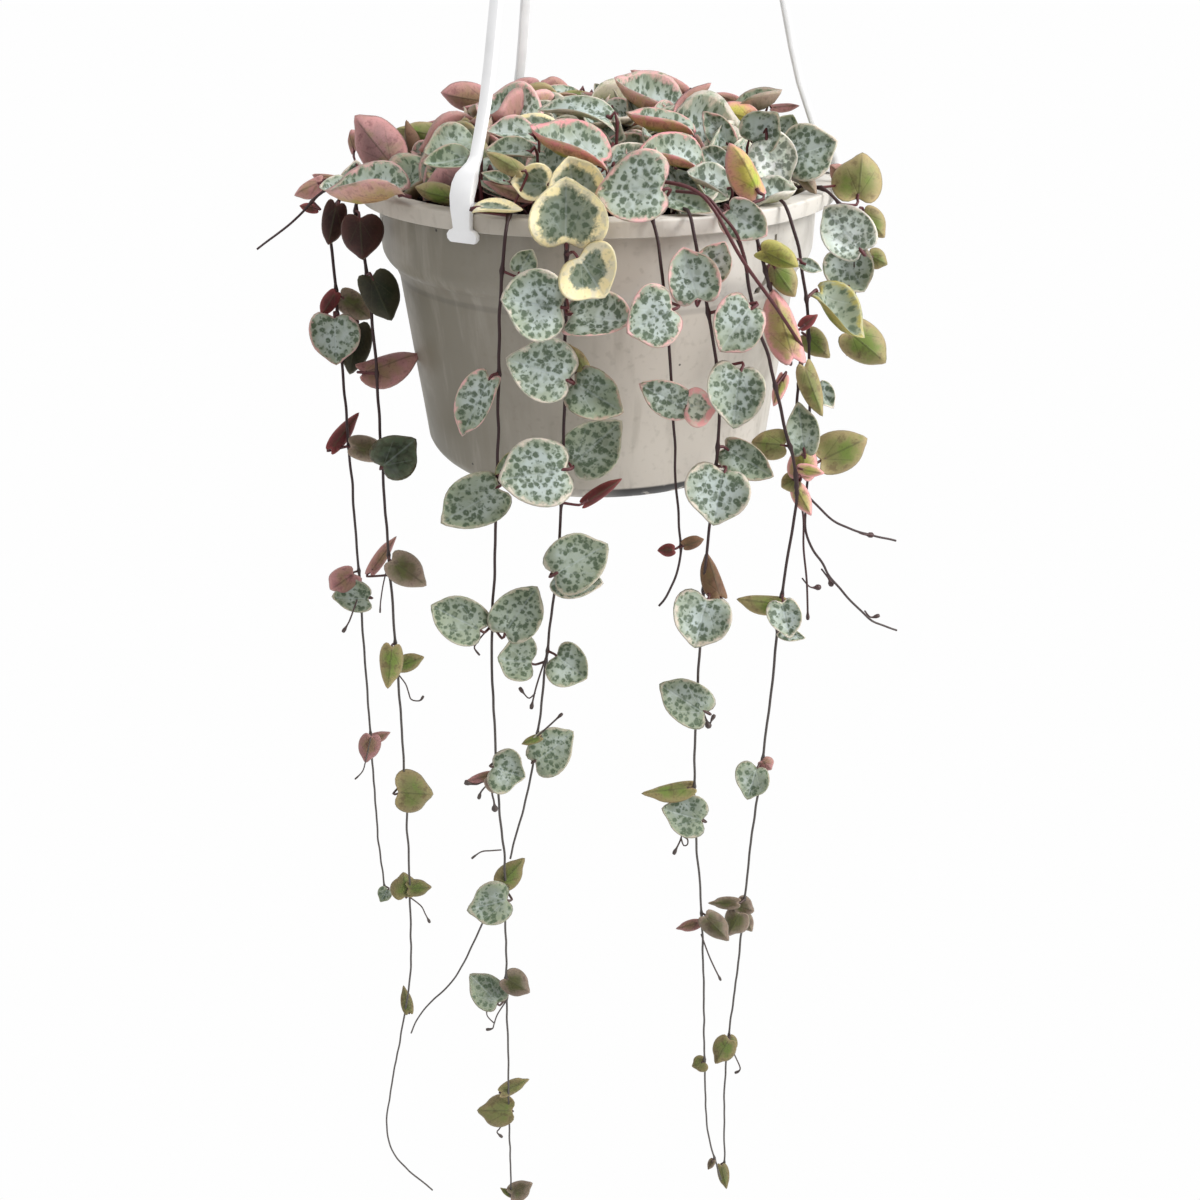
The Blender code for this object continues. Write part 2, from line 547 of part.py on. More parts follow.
def extend_stalk(bm, face, elbow, end):
    """Draw a face of the blade's edge out into a stalk through the elbow to the end."""
    for target in (elbow, end):
        grown = bmesh.ops.extrude_face_region(bm, geom=[face])
        tip = [v for v in grown["geom"] if isinstance(v, bmesh.types.BMVert)]
        bmesh.ops.delete(bm, geom=[face], context="FACES_ONLY")
        face = [f for f in grown["geom"] if isinstance(f, bmesh.types.BMFace)][0]
        middle = face.calc_center_median()
        along = (target - middle).normalized()
        side = face.verts[1].co - face.verts[2].co
        side = (side - along * side.dot(along)).normalized() * STALK_WIDTH / 2
        flat = along.cross(side).normalized() * STALK_WIDTH * 0.4
        order = list(face.verts)
        for vert, (a, b) in zip(order, ((1, 1), (1, -1), (-1, -1), (-1, 1))):
            vert.co = target + flat * a + side * b
        if face.normal.dot(along) < 0:
            face.normal_update()


def main():
    """Build every piece."""
    for obj in list(bpy.data.objects):
        bpy.data.objects.remove(obj, do_unlink=True)
    pot_plastic = material("pot_plastic", (0.62, 0.58, 0.54), 0.42)
    hanger_plastic = material("hanger_plastic", (0.85, 0.86, 0.88), 0.35)
    soil_mix = material("soil_mix", (0.06, 0.04, 0.03), 0.95)
    stem_skin = material("stem_skin", (0.13, 0.07, 0.07), 0.6)
    leaf_skin = material("leaf_skin", (0.48, 0.58, 0.50), 0.5)
    pot(pot_plastic)
    soil(soil_mix)
    hanger(hanger_plastic)
    lines = {}
    for stem in STEMS:
        lines[stem.name] = stem.line()
        tube(stem.name, [p * MM for p in lines[stem.name]], STEM_RADIUS * MM, stem_skin)
    for spec in LEAVES:
        leaf(spec, leaf_skin, lines[spec.stem])


main()
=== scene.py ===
"""Looks for a variegated string of hearts in a hanging pot.

Everything is made in millimetres from the hook's inside crown, which is the point that the
plant hangs from, and turned into metres when a piece is finished.  +Z is up and the stems
trail over the front of the rim, towards -Y.
"""
import logging
import math
import random
from dataclasses import dataclass, field
from enum import Enum
from typing import Any, Iterable, Sequence, Union

import bmesh
import bpy
from mathutils import Euler, Matrix, Vector, noise


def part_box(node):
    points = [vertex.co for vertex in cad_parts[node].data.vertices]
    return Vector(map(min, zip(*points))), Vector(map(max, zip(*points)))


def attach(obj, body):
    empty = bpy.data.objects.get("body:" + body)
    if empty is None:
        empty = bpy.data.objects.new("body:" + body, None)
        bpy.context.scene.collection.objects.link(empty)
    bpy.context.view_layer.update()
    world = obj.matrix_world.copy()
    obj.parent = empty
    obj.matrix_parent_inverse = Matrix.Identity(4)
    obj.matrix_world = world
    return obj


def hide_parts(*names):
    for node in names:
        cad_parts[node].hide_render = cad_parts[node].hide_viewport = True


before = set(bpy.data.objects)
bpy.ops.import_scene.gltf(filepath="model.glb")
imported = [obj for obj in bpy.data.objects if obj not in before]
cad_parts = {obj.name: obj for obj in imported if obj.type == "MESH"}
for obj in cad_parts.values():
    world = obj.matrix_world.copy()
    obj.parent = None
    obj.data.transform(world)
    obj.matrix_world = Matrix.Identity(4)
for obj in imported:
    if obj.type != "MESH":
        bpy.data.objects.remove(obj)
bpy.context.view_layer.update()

LOG = logging.getLogger("string_of_hearts")

MM = 0.001
RIM_Z = round(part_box("pot")[1].z / MM, 3)
RIM_RADIUS = 75.4
SOIL_Z = RIM_Z - 11.0
NOISE_SEED = 6
# A heart of unit radius is this long from notch to tip, and its middle is this far from the notch.
HEART_SPAN = 1.77
HEART_MIDDLE = 0.64

Number = Union[float, "Value"]
Colour = tuple[float, float, float]


# ------------------------------------------------------------------ shader recipes

def shade(red: int, green: int, blue: int) -> Colour:
    """A colour named by its eight-bit display values, as the linear values that a shader needs."""
    return tuple(((c / 255 + 0.055) / 1.055) ** 2.4 if c > 10 else c / 3295 for c in (red, green, blue))


class Value:
    """A number inside a material, with arithmetic that adds the Math nodes it stands for."""

    def __init__(self, recipe: "Recipe", socket: bpy.types.NodeSocket) -> None:
        """Wrap a socket of a recipe."""
        self.recipe = recipe
        self.socket = socket

    def math(self, operation: str, *others: Number, flipped: bool = False) -> "Value":
        """Add one Math node.

        Args:
            operation: Blender's name for the sum.
            others: the other numbers or values.
            flipped: put the first of the others before this value.

        Returns:
            The node's result.
        """
        terms = [self, *others]
        if flipped:
            terms[0], terms[1] = terms[1], terms[0]
        made = self.recipe.node("Math", {"operation": operation}, dict(enumerate(terms)))
        return Value(self.recipe, made.outputs[0])

    def __add__(self, other: Number) -> "Value":
        """This plus another."""
        return self.math("ADD", other)

    def __sub__(self, other: Number) -> "Value":
        """This minus another."""
        return self.math("SUBTRACT", other)

    def __rsub__(self, other: Number) -> "Value":
        """Another minus this."""
        return self.math("SUBTRACT", other, flipped=True)

    def __mul__(self, other: Number) -> "Value":
        """This times another."""
        return self.math("MULTIPLY", other)

    __radd__ = __add__
    __rmul__ = __mul__

    def above(self, low: float, high: float) -> "Value":
        """Nought below low, one above high and a soft step between; high may be the lower one.

        Args:
            low: the number up to which the result is nought.
            high: the number from which it is one.

        Returns:
            The step, with smooth ends.
        """
        made = self.recipe.node("MapRange", {"interpolation_type": "SMOOTHSTEP"},
                                {"Value": self, "From Min": low, "From Max": high})
        return Value(self.recipe, made.outputs[0])

    def least(self, other: Number) -> "Value":
        """The smaller of the two."""
        return self.math("MINIMUM", other)

    def most(self, other: Number) -> "Value":
        """The larger of the two."""
        return self.math("MAXIMUM", other)


class Recipe:
    """One material under construction."""

    def __init__(self, name: str) -> None:
        """Start a material with its shader node.

        Args:
            name: the material's name.
        """
        self.material = bpy.data.materials.new(name)
        self.material.use_nodes = True
        self.tree = self.material.node_tree
        self.shader = self.tree.nodes["Principled BSDF"]

    def node(self, kind: str, settings: dict[str, Any], sockets: dict[Any, Any]) -> bpy.types.Node:
        """Add a node.

        Args:
            kind: the node's type, without its ShaderNode prefix.
            settings: properties, set before the sockets are fed.
            sockets: values, colours or links by socket name or number.

        Returns:
            The new node.
        """
        made = self.tree.nodes.new("ShaderNode" + kind)
        for key, value in settings.items():
            setattr(made, key, value)
        for key, value in sockets.items():
            self.feed(made.inputs[key], value)
        return made

    def feed(self, socket: bpy.types.NodeSocket, value: Any) -> None:
        """Set a socket to a constant, or link it to a value or to another socket.

        Args:
            socket: the socket to feed.
            value: a number, a colour, a value or a socket.
        """
        if isinstance(value, Value):
            value = value.socket
        if isinstance(value, bpy.types.NodeSocket):
            self.tree.links.new(value, socket)
        elif isinstance(value, tuple) and len(value) == 3 and socket.type == "RGBA":
            socket.default_value = (*value, 1.0)
        else:
            socket.default_value = value

    def mix(self, first: Any, second: Any, share: Number) -> bpy.types.NodeSocket:
        """A colour between two, by the share of the second."""
        made = self.node("Mix", {"data_type": "RGBA"}, {0: share, 6: first, 7: second})
        return made.outputs[2]

    def place(self) -> bpy.types.NodeSocket:
        """Object coordinates, in metres."""
        return self.node("TexCoord", {}, {}).outputs["Object"]

    def attribute(self, name: str) -> bpy.types.Node:
        """The node that reads one of the piece's own attributes."""
        return self.node("Attribute", {"attribute_name": name}, {})

    def tinted(self, colour: Any, by: Colour) -> bpy.types.NodeSocket:
        """A colour times three factors."""
        return self.node("VectorMath", {"operation": "MULTIPLY"}, {0: colour, 1: by}).outputs[0]

    def noise(self, where: Any, scale: float, detail: float = 3.0, rough: float = 0.5) -> Value:
        """Fractal noise about one half.

        Args:
            where: the coordinates.
            scale: how fine the noise is.
            detail: how many finer layers it has.
            rough: how strong the finer layers are.

        Returns:
            The noise.
        """
        made = self.node("TexNoise", {}, {"Vector": where, "Scale": scale, "Detail": detail,
                                          "Roughness": rough})
        return Value(self, made.outputs[0])

    def warp(self, where: Any, scale: float, amount: float) -> bpy.types.NodeSocket:
        """The same coordinates, pushed about by noise.

        Args:
            where: the coordinates.
            scale: how fine the noise is.
            amount: how far it pushes.

        Returns:
            The pushed coordinates.
        """
        push = self.node("TexNoise", {}, {"Vector": where, "Scale": scale, "Detail": 2.0}).outputs[1]
        centred = self.node("VectorMath", {"operation": "SUBTRACT"}, {0: push, 1: (0.5, 0.5, 0.5)})
        pushed = self.node("VectorMath", {"operation": "SCALE"}, {0: centred.outputs[0], "Scale": amount})
        return self.node("VectorMath", {"operation": "ADD"}, {0: where, 1: pushed.outputs[0]}).outputs[0]

    def cells(self, where: Any, scale: float) -> tuple[Value, Value]:
        """Distance to the nearest cell point, and a number of each cell's own.

        Args:
            where: the coordinates.
            scale: how small the cells are.

        Returns:
            The distance and the cell's number.
        """
        made = self.node("TexVoronoi", {}, {"Vector": where, "Scale": scale})
        parts = self.node("SeparateColor", {}, {0: made.outputs["Color"]})
        return Value(self, made.outputs["Distance"]), Value(self, parts.outputs[0])

    def parts(self, vector: Any) -> tuple[Value, Value, Value]:
        """The three numbers of a vector."""
        made = self.node("SeparateXYZ", {}, {0: vector})
        return tuple(Value(self, out) for out in made.outputs)

    def bump(self, height: Number, strength: float, distance: float) -> None:
        """Feed the shader's normal from a height."""
        made = self.node("Bump", {}, {"Strength": strength, "Distance": distance, "Height": height})
        self.feed(self.shader.inputs["Normal"], made.outputs[0])

    def finish(self, **sockets: Any) -> bpy.types.Material:
        """Feed the shader's own sockets, with underscores for the spaces in their names.

        Args:
            sockets: values by the names of the shader's sockets.

        Returns:
            The material.
        """
        for key, value in sockets.items():
            self.feed(self.shader.inputs[key.replace("_", " ")], value)
        return self.material


# ------------------------------------------------------------------ finishes

@dataclass(frozen=True)
class PotPlastic:
    """Thin off-white nursery plastic, smudged and lightly speckled with soil, with painted shade and
    painted highlights.
    """

    # Painted shade: the colour of the pot's left side, turned away from the key light.
    base: Colour = shade(126, 120, 106)
    smudge: Colour = shade(126, 117, 100)
    # Painted light: the lit front, also laid on the rim's top, on a strip down the left edge and in light
    # streaks.
    front: Colour = shade(208, 200, 189)
    # Painted light: the colour of the pot's right side.
    sunny: Colour = shade(187, 181, 171)
    # Painted highlight: the glow on the collar's right side.
    painted_collar_highlight: Colour = shade(236, 233, 228)
    # Soil specks; the same dark also paints the shadow line in the crease under the collar and the band
    # round the foot.
    speck_and_shade: Colour = shade(24, 20, 16)
    # Heights in metres over which each zone of the wall comes in.
    skirt: tuple = (-0.2706, -0.2698)
    collar: tuple = (-0.2960, -0.2880)
    # Painted shade: the heights of the shadow line in the crease under the collar.
    crease_low: tuple = (-0.2950, -0.2940)
    crease_high: tuple = (-0.2922, -0.2932)
    splashed: tuple = (-0.325, -0.356)
    foot: tuple = (-0.3490, -0.3499)

    def build(self) -> bpy.types.Material:
        """Mix the material.

        Returns:
            The finished material.
        """
        recipe = Recipe("pot_plastic_look")
        where = recipe.place()
        side, _, height = recipe.parts(where)
        cloud = recipe.noise(recipe.warp(where, 14.0, 0.03), 22.0, 5.0, 0.6)
        streak_space = recipe.node("Mapping", {}, {"Vector": where, "Scale": (1.0, 1.0, 0.12)}).outputs[0]
        streak = recipe.noise(streak_space, 160.0, 4.0, 0.6)
        low = height.above(*self.splashed)
        dirt = (cloud.above(0.50, 0.68) * 0.5 + streak.above(0.52, 0.72) * (0.2 + low * 0.3)).least(1.0)
        drift = side + cloud * 0.03 - 0.015
        rim = height.above(*self.skirt)
        # Painted shade and light: dark on the left, lit across the front and over the rim's top.
        painted_light_plastic = recipe.mix(self.base, self.front, drift.above(-0.048, 0.012).most(rim * 0.72))
        # Painted highlight: a lighter strip down the far left edge.
        painted_light_plastic = recipe.mix(painted_light_plastic, self.front, drift.above(-0.054, -0.062) * 0.35)
        # Painted light: the right side, a little dimmer than the front.
        painted_light_plastic = recipe.mix(painted_light_plastic, self.sunny, drift.above(0.026, 0.070))
        # Painted reflection: lighter vertical streaks on the wall.
        painted_light_plastic = recipe.mix(painted_light_plastic, self.front, streak.above(0.50, 0.30) * 0.16)
        # Painted highlight: the collar glows on its right side.
        lit = drift.above(-0.005, 0.030) * height.above(*self.collar)
        painted_light_plastic = recipe.mix(painted_light_plastic, self.painted_collar_highlight, lit * 0.38)
        colour = recipe.mix(painted_light_plastic, self.smudge, dirt)
        grain = recipe.noise(where, 420.0, 2.0)
        colour = recipe.mix(colour, self.smudge, grain.above(0.55, 0.75) * 0.18)
        clump = recipe.noise(where, 45.0, 2.0).above(0.47, 0.60)
        for scale, size, share, strength in ((75.0, 0.034, 0.30, 0.8), (200.0, 0.10, 0.18, 0.85)):
            distance, own = recipe.cells(where, scale)
            dots = distance.above(size, size * 0.6) * own.above(1.0 - share, 1.0 - share + 0.01)
            colour = recipe.mix(colour, self.speck_and_shade, dots * clump.most(0.12) * strength)
        # A dark broken band round the foot's right half.
        foot = height.above(*self.foot) * side.above(-0.012, 0.010)
        band_breaks = recipe.noise(where, 160.0, 3.0).above(0.34, 0.44)
        # Painted shadow: a dark line in the crease under the collar's ledge.
        crease = height.above(*self.crease_low) * height.above(*self.crease_high)
        colour = recipe.mix(colour, self.speck_and_shade, (foot * band_breaks).most(crease * 0.20))
        recipe.bump(cloud * 0.7 + grain * 0.3, 0.10, 0.0006)
        return recipe.finish(Base_Color=colour, Roughness=0.36 + cloud * 0.2, Subsurface_Weight=0.12,
                             Subsurface_Radius=(0.004, 0.0035, 0.003), Subsurface_Scale=1.0)


@dataclass(frozen=True)
class HangerPlastic:
    """Smooth white moulded plastic."""

    base: Colour = shade(250, 250, 251)
    scuff: Colour = shade(228, 228, 228)

    def build(self) -> bpy.types.Material:
        """Mix the material.

        Returns:
            The finished material.
        """
        recipe = Recipe("hanger_plastic_look")
        where = recipe.place()
        cloud = recipe.noise(where, 60.0, 4.0)
        fine = recipe.noise(where, 600.0, 2.0)
        colour = recipe.mix(self.base, self.scuff, cloud.above(0.5, 0.75) * 0.6)
        recipe.bump(fine, 0.05, 0.0003)
        return recipe.finish(Base_Color=colour, Roughness=0.28 + cloud * 0.15)


@dataclass(frozen=True)
class PottingMix:
    """Dark crumbly potting mix with fibres and a few pale grains."""

    dark: Colour = shade(24, 18, 15)
    brown: Colour = shade(66, 48, 36)
    pale: Colour = shade(176, 168, 152)

    def build(self) -> bpy.types.Material:
        """Mix the material.

        Returns:
            The finished material.
        """
        recipe = Recipe("potting_mix_look")
        where = recipe.place()
        cloud = recipe.noise(where, 240.0, 6.0, 0.7)
        distance, own = recipe.cells(where, 330.0)
        colour = recipe.mix(self.dark, self.brown, cloud.above(0.42, 0.68))
        colour = recipe.mix(colour, self.pale, own.above(0.965, 0.97) * distance.above(0.5, 0.35))
        recipe.bump(cloud + distance * 0.6, 0.9, 0.0015)
        return recipe.finish(Base_Color=colour, Roughness=0.92)


@dataclass(frozen=True)
class StemSkin:
    """Dark purple-brown stems that turn grey lower down, with crimson leaf stalks."""

    young: Colour = shade(52, 26, 28)
    old: Colour = shade(84, 78, 74)
    stalk: Colour = shade(88, 36, 40)
    stalk_low: Colour = shade(80, 60, 54)

    def build(self) -> bpy.types.Material:
        """Mix the material.

        Returns:
            The finished material.
        """
        recipe = Recipe("stem_skin_look")
        where = recipe.place()
        _, _, height = recipe.parts(where)
        lower = height.above(-0.33, -0.46)
        flush = Value(recipe, recipe.attribute("flush").outputs["Fac"])
        mottle = recipe.noise(where, 900.0, 3.0)
        stem = recipe.mix(self.young, self.old, lower)
        stalk = recipe.mix(self.stalk, self.stalk_low, lower)
        colour = recipe.mix(stem, stalk, flush)
        colour = recipe.mix(colour, shade(30, 18, 18), mottle.above(0.5, 0.7) * 0.45)
        recipe.bump(mottle, 0.4, 0.0002)
        return recipe.finish(Base_Color=colour, Roughness=0.5)


@dataclass(frozen=True)
class LeafSkin:
    """Waxy leaf skin: silver-mint face with dark green rings, coloured margin and plain back."""

    mark: Colour = shade(66, 84, 60)
    soft_mark: Colour = shade(112, 124, 100)
    haze: Colour = shade(196, 206, 206)
    wash: Colour = shade(138, 148, 120)
    pale: Colour = shade(206, 202, 186)
    vein: Colour = shade(66, 66, 44)

    def build(self) -> bpy.types.Material:
        """Mix the material.

        Returns:
            The finished material.
        """
        recipe = Recipe("leaf_skin_look")
        skin = recipe.attribute("skin")
        margin = recipe.attribute("margin")
        edge = Value(recipe, recipe.attribute("edge").outputs["Fac"])
        blade = recipe.attribute("blade").outputs["Vector"]
        upper = Value(recipe, skin.outputs["Alpha"])
        width = Value(recipe, margin.outputs["Alpha"])
        across, along, _ = recipe.parts(blade)
        spread = across.math("ABSOLUTE")
        wander = recipe.noise(blade, 0.35, 3.0)
        patch = recipe.noise(blade, 0.13, 2.0)
        fine = recipe.noise(blade, 1.6, 3.0)
        back = 1.0 - upper

        face = recipe.mix(skin.outputs["Color"], self.wash, patch.above(0.50, 0.36) * upper * 0.45)
        face = recipe.mix(face, self.haze, patch.above(0.50, 0.64) * upper * 0.30)
        outer = (edge + wander * 0.6).above(0.75, 1.30)
        face = recipe.mix(face, self.wash, outer * upper * 0.75)
        greener = recipe.tinted(skin.outputs["Color"], (0.78, 1.08, 0.60))
        face = recipe.mix(face, greener, patch.above(0.42, 0.56) * back * 0.85)
        flushed = (edge + fine * 0.3 + wander * 0.9).above(0.90, 1.60)
        face = recipe.mix(face, margin.outputs["Color"], flushed * back * 0.75)
        darker = recipe.tinted(skin.outputs["Color"], (0.42, 0.28, 0.30))
        face = recipe.mix(face, darker, (wander + fine * 0.2).above(0.60, 0.80) * back * 0.55)

        bent = recipe.warp(recipe.warp(blade, 0.45, 1.2), 1.3, 0.75)
        distance, own = recipe.cells(bent, 0.54)
        small, lone = recipe.cells(bent, 0.86)
        grain = recipe.noise(blade, 0.8, 2.0)
        ring = distance.above(0.02, 0.18) * distance.above(0.56, 0.34) * grain.above(0.32, 0.46)
        blot = distance.above(0.46, 0.22) * own.above(0.46, 0.52)
        dot = small.above(0.43, 0.21) * lone.above(0.46, 0.52)
        clear = (edge * 0.45 + wander - 0.41).above(0.0, 0.20)
        marks = (ring * own.above(0.04, 0.08)).most(blot).most(dot * 0.9) * upper
        marks = marks * (clear * 0.78 + 0.22) * patch.above(0.22, 0.34)
        halo = distance.above(0.66, 0.34) * 0.42 * upper * (clear * 0.7 + 0.3)

        rim_line = edge + wander * 0.50 + fine * 0.20 - 0.36
        band = (rim_line + width - 1.0).above(-0.10, 0.06) * width.above(0.0, 0.03)
        face = recipe.mix(face, self.soft_mark, halo * (1.0 - band))
        face = recipe.mix(face, self.mark, marks * (1.0 - band * 0.8) * 0.80)
        tinge = recipe.mix(margin.outputs["Color"], self.pale, wander.above(0.56, 0.42) * upper * 0.70)
        face = recipe.mix(face, tinge, band * (1.0 - dot * 0.3 * upper))

        midrib = spread.above(0.42, 0.12) * edge.above(0.97, 0.7)
        side_line = (spread - along * 0.55 + 0.4).math("ABSOLUTE")
        side_vein = side_line.above(0.30, 0.08) * edge.above(0.9, 0.6)
        face = recipe.mix(face, self.vein, (midrib * 0.40 + side_vein * 0.22) * back)
        face = recipe.mix(face, self.haze, (midrib * 0.22 + side_vein * 0.12) * upper)
        mottled = recipe.mix(face, self.vein, fine.above(0.5, 0.75) * 0.30 * back)
        height = fine * 0.25 - midrib * 0.9 * upper + midrib * 0.7 * back - side_vein * 0.3 - marks * 0.2
        recipe.bump(height, 0.35, 0.0004)
        return recipe.finish(Base_Color=mottled, Roughness=0.50 + fine * 0.16 - marks * 0.04,
                             Specular_IOR_Level=0.30, Subsurface_Weight=0.15,
                             Subsurface_Radius=(0.0016, 0.0014, 0.0009), Subsurface_Scale=1.0)


@dataclass(frozen=True)
class FloorPaint:
    """Plain pale floor."""

    base: Colour = shade(254, 254, 254)

    def build(self) -> bpy.types.Material:
        """Mix the material.

        Returns:
            The finished material.
        """
        recipe = Recipe("pale_floor_look")
        seen = recipe.node("LightPath", {}, {}).outputs["Is Camera Ray"]
        glow = recipe.node("Emission", {}, {"Color": self.base, "Strength": 1.0})
        both = recipe.node("MixShader", {}, {0: seen, 1: recipe.shader.outputs[0], 2: glow.outputs[0]})
        recipe.feed(recipe.tree.nodes["Material Output"].inputs[0], both.outputs[0])
        return recipe.finish(Base_Color=self.base, Roughness=0.8)


class Finishes:
    """The object's materials, each made once."""

    def __init__(self) -> None:
        """Make every material."""
        self.pot = PotPlastic().build()
        self.hanger = HangerPlastic().build()
        self.soil = PottingMix().build()
        self.stem = StemSkin().build()
        self.leaf = LeafSkin().build()
        self.floor = FloorPaint().build()


# ------------------------------------------------------------------ making pieces

def azimuth_point(azimuth: float, radius: float, z: float) -> Vector:
    """A point at an angle from the front, positive towards +X, in millimetres."""
    a = math.radians(azimuth)
    return Vector((radius * math.sin(a), -radius * math.cos(a), z))


def arc(centre: tuple[float, float], radius: float, start: float, end: float, count: int) -> list:
    """Points of a round stretch of an outline, with the angles in degrees."""
    turns = [math.radians(start + (end - start) * i / count) for i in range(count + 1)]
    return [(centre[0] + radius * math.cos(a), centre[1] + radius * math.sin(a)) for a in turns]


def place_mesh(name: str, bm: bmesh.types.BMesh) -> bpy.types.Object:
    """Put a bmesh into the scene as an object, and free it.

    Args:
        name: the name of the mesh and of the object.
        bm: the mesh, which is freed.

    Returns:
        The new object.
    """
    mesh = bpy.data.meshes.new(name)
    bm.to_mesh(mesh)
    bm.free()
    obj = bpy.data.objects.new(name, mesh)
    bpy.context.scene.collection.objects.link(obj)
    return obj


def finish_piece(name: str, bm: bmesh.types.BMesh, look: bpy.types.Material,
                 nodes: Sequence[str] = (), sharp: float = 180.0) -> None:
    """Turn a bmesh in millimetres into a piece of the object.

    Args:
        name: the piece's name.
        bm: its mesh, which is freed.
        look: its material.
        nodes: the CAD nodes that it stands for.
        sharp: the angle in degrees from which an edge stays hard.
    """
    bmesh.ops.scale(bm, vec=(MM, MM, MM), verts=bm.verts)
    obj = place_mesh(name, bm)
    obj.data.materials.append(look)
    obj.data.shade_smooth()
    if sharp < 180.0:
        obj.data.set_sharp_from_angle(angle=math.radians(sharp))
    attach(obj, "root")
    if nodes:
        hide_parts(*nodes)
    LOG.info("%s: %d faces", name, len(obj.data.polygons))


def absorb(whole: bmesh.types.BMesh, part: bmesh.types.BMesh) -> None:
    """Add one mesh to another and free it.

    Args:
        whole: the mesh that grows.
        part: the mesh to add, which is freed.
    """
    mesh = bpy.data.meshes.new("part")
    part.to_mesh(mesh)
    part.free()
    whole.from_mesh(mesh)
    bpy.data.meshes.remove(mesh)


def turned(outline: Sequence[tuple[float, float]], steps: int) -> bmesh.types.BMesh:
    """A solid turned about the Z axis.

    Args:
        outline: (radius, height) points, from the axis back to the axis.
        steps: number of steps round.

    Returns:
        The mesh, facing outwards.
    """
    bm = bmesh.new()
    verts = [bm.verts.new((r, 0.0, z)) for r, z in outline]
    edges = [bm.edges.new(pair) for pair in zip(verts, verts[1:])]
    bmesh.ops.spin(bm, geom=verts + edges, cent=(0, 0, 0), axis=(0, 0, 1), angle=math.tau,
                   steps=steps, use_merge=True)
    bmesh.ops.remove_doubles(bm, verts=bm.verts, dist=0.002)
    bmesh.ops.recalc_face_normals(bm, faces=bm.faces)
    return bm


def carve(body: bmesh.types.BMesh, cutters: Iterable[bmesh.types.BMesh]) -> bmesh.types.BMesh:
    """Cut shapes out of a mesh.

    Args:
        body: the mesh to cut, which is freed.
        cutters: the shapes to take away, which are freed.

    Returns:
        The mesh with its holes.
    """
    objects = [place_mesh(f"carve_{i}", shape) for i, shape in enumerate([body, *cutters])]
    for tool in objects[1:]:
        modifier = objects[0].modifiers.new(tool.name, "BOOLEAN")
        modifier.object = tool
        modifier.operation = "DIFFERENCE"
        modifier.solver = "EXACT"
    done = objects[0].evaluated_get(bpy.context.evaluated_depsgraph_get())
    result = bmesh.new()
    result.from_mesh(done.to_mesh())
    done.to_mesh_clear()
    for obj in objects:
        mesh = obj.data
        bpy.data.objects.remove(obj)
        bpy.data.meshes.remove(mesh)
    return result


def box_at(size: Sequence[float], place: Vector, azimuth: float) -> bmesh.types.BMesh:
    """A box of that size at a place, turned to an azimuth.

    Args:
        size: its depth, width and height.
        place: its middle.
        azimuth: its turn about Z, in degrees.

    Returns:
        The box.
    """
    bm = bmesh.new()
    bmesh.ops.create_cube(bm, size=1.0)
    bmesh.ops.scale(bm, vec=size, verts=bm.verts)
    turn = Matrix.Translation(place) @ Matrix.Rotation(math.radians(azimuth), 4, "Z")
    bmesh.ops.transform(bm, matrix=turn, verts=bm.verts)
    return bm


def curve_through(points: Sequence[Vector], step: float) -> list[Vector]:
    """A smooth line through points, sampled at about an even step of length.

    Args:
        points: the points, in millimetres.
        step: the wanted distance between samples.

    Returns:
        The samples, both ends included.
    """
    line = []
    for i, (p1, p2) in enumerate(zip(points, points[1:])):
        p0 = points[max(i - 1, 0)]
        p3 = points[min(i + 2, len(points) - 1)]
        count = max(2, round((p2 - p1).length / step))
        for k in range(count):
            t = k / count
            line.append(0.5 * ((2 * p1) + (p2 - p0) * t + (2 * p0 - 5 * p1 + 4 * p2 - p3) * t * t
                               + (3 * p1 - p0 - 3 * p2 + p3) * t ** 3))
    line.append(points[-1].copy())
    return line


@dataclass
class Strand:
    """One round line with a thickness at each point; its flush tells leaf stalks from stems."""

    line: list
    radii: list
    flush: float = 0.0


def strand_curve(strands: Iterable[Strand]) -> bpy.types.Curve:
    """A round curve with one spline for each strand.

    Args:
        strands: the lines, in millimetres.

    Returns:
        The curve.
    """
    curve = bpy.data.curves.new("strands", "CURVE")
    curve.dimensions = "3D"
    curve.bevel_depth = 1.0
    curve.bevel_resolution = 2
    curve.use_fill_caps = True
    for strand in strands:
        spline = curve.splines.new("POLY")
        spline.points.add(len(strand.line) - 1)
        for point, place, radius in zip(spline.points, strand.line, strand.radii):
            point.co = (*place, 1.0)
            point.radius = radius
    return curve


def tubes(strands: Sequence[Strand]) -> bmesh.types.BMesh:
    """Round tubes along strands.

    Args:
        strands: the lines, in millimetres.

    Returns:
        One mesh with the strands' flush as an attribute.
    """
    bm = bmesh.new()
    flush = bm.verts.layers.float.new("flush")
    for level in sorted({strand.flush for strand in strands}):
        curve = strand_curve(s for s in strands if s.flush == level)
        obj = bpy.data.objects.new("strands", curve)
        mesh = bpy.data.meshes.new_from_object(obj)
        before = len(bm.verts)
        bm.from_mesh(mesh)
        bm.verts.ensure_lookup_table()
        for vert in bm.verts[before:]:
            vert[flush] = level
        bpy.data.objects.remove(obj)
        bpy.data.curves.remove(curve)
        bpy.data.meshes.remove(mesh)
    bmesh.ops.remove_doubles(bm, verts=bm.verts, dist=0.0005)
    bmesh.ops.recalc_face_normals(bm, faces=bm.faces)
    return bm


# ------------------------------------------------------------------ pot, soil and hanger

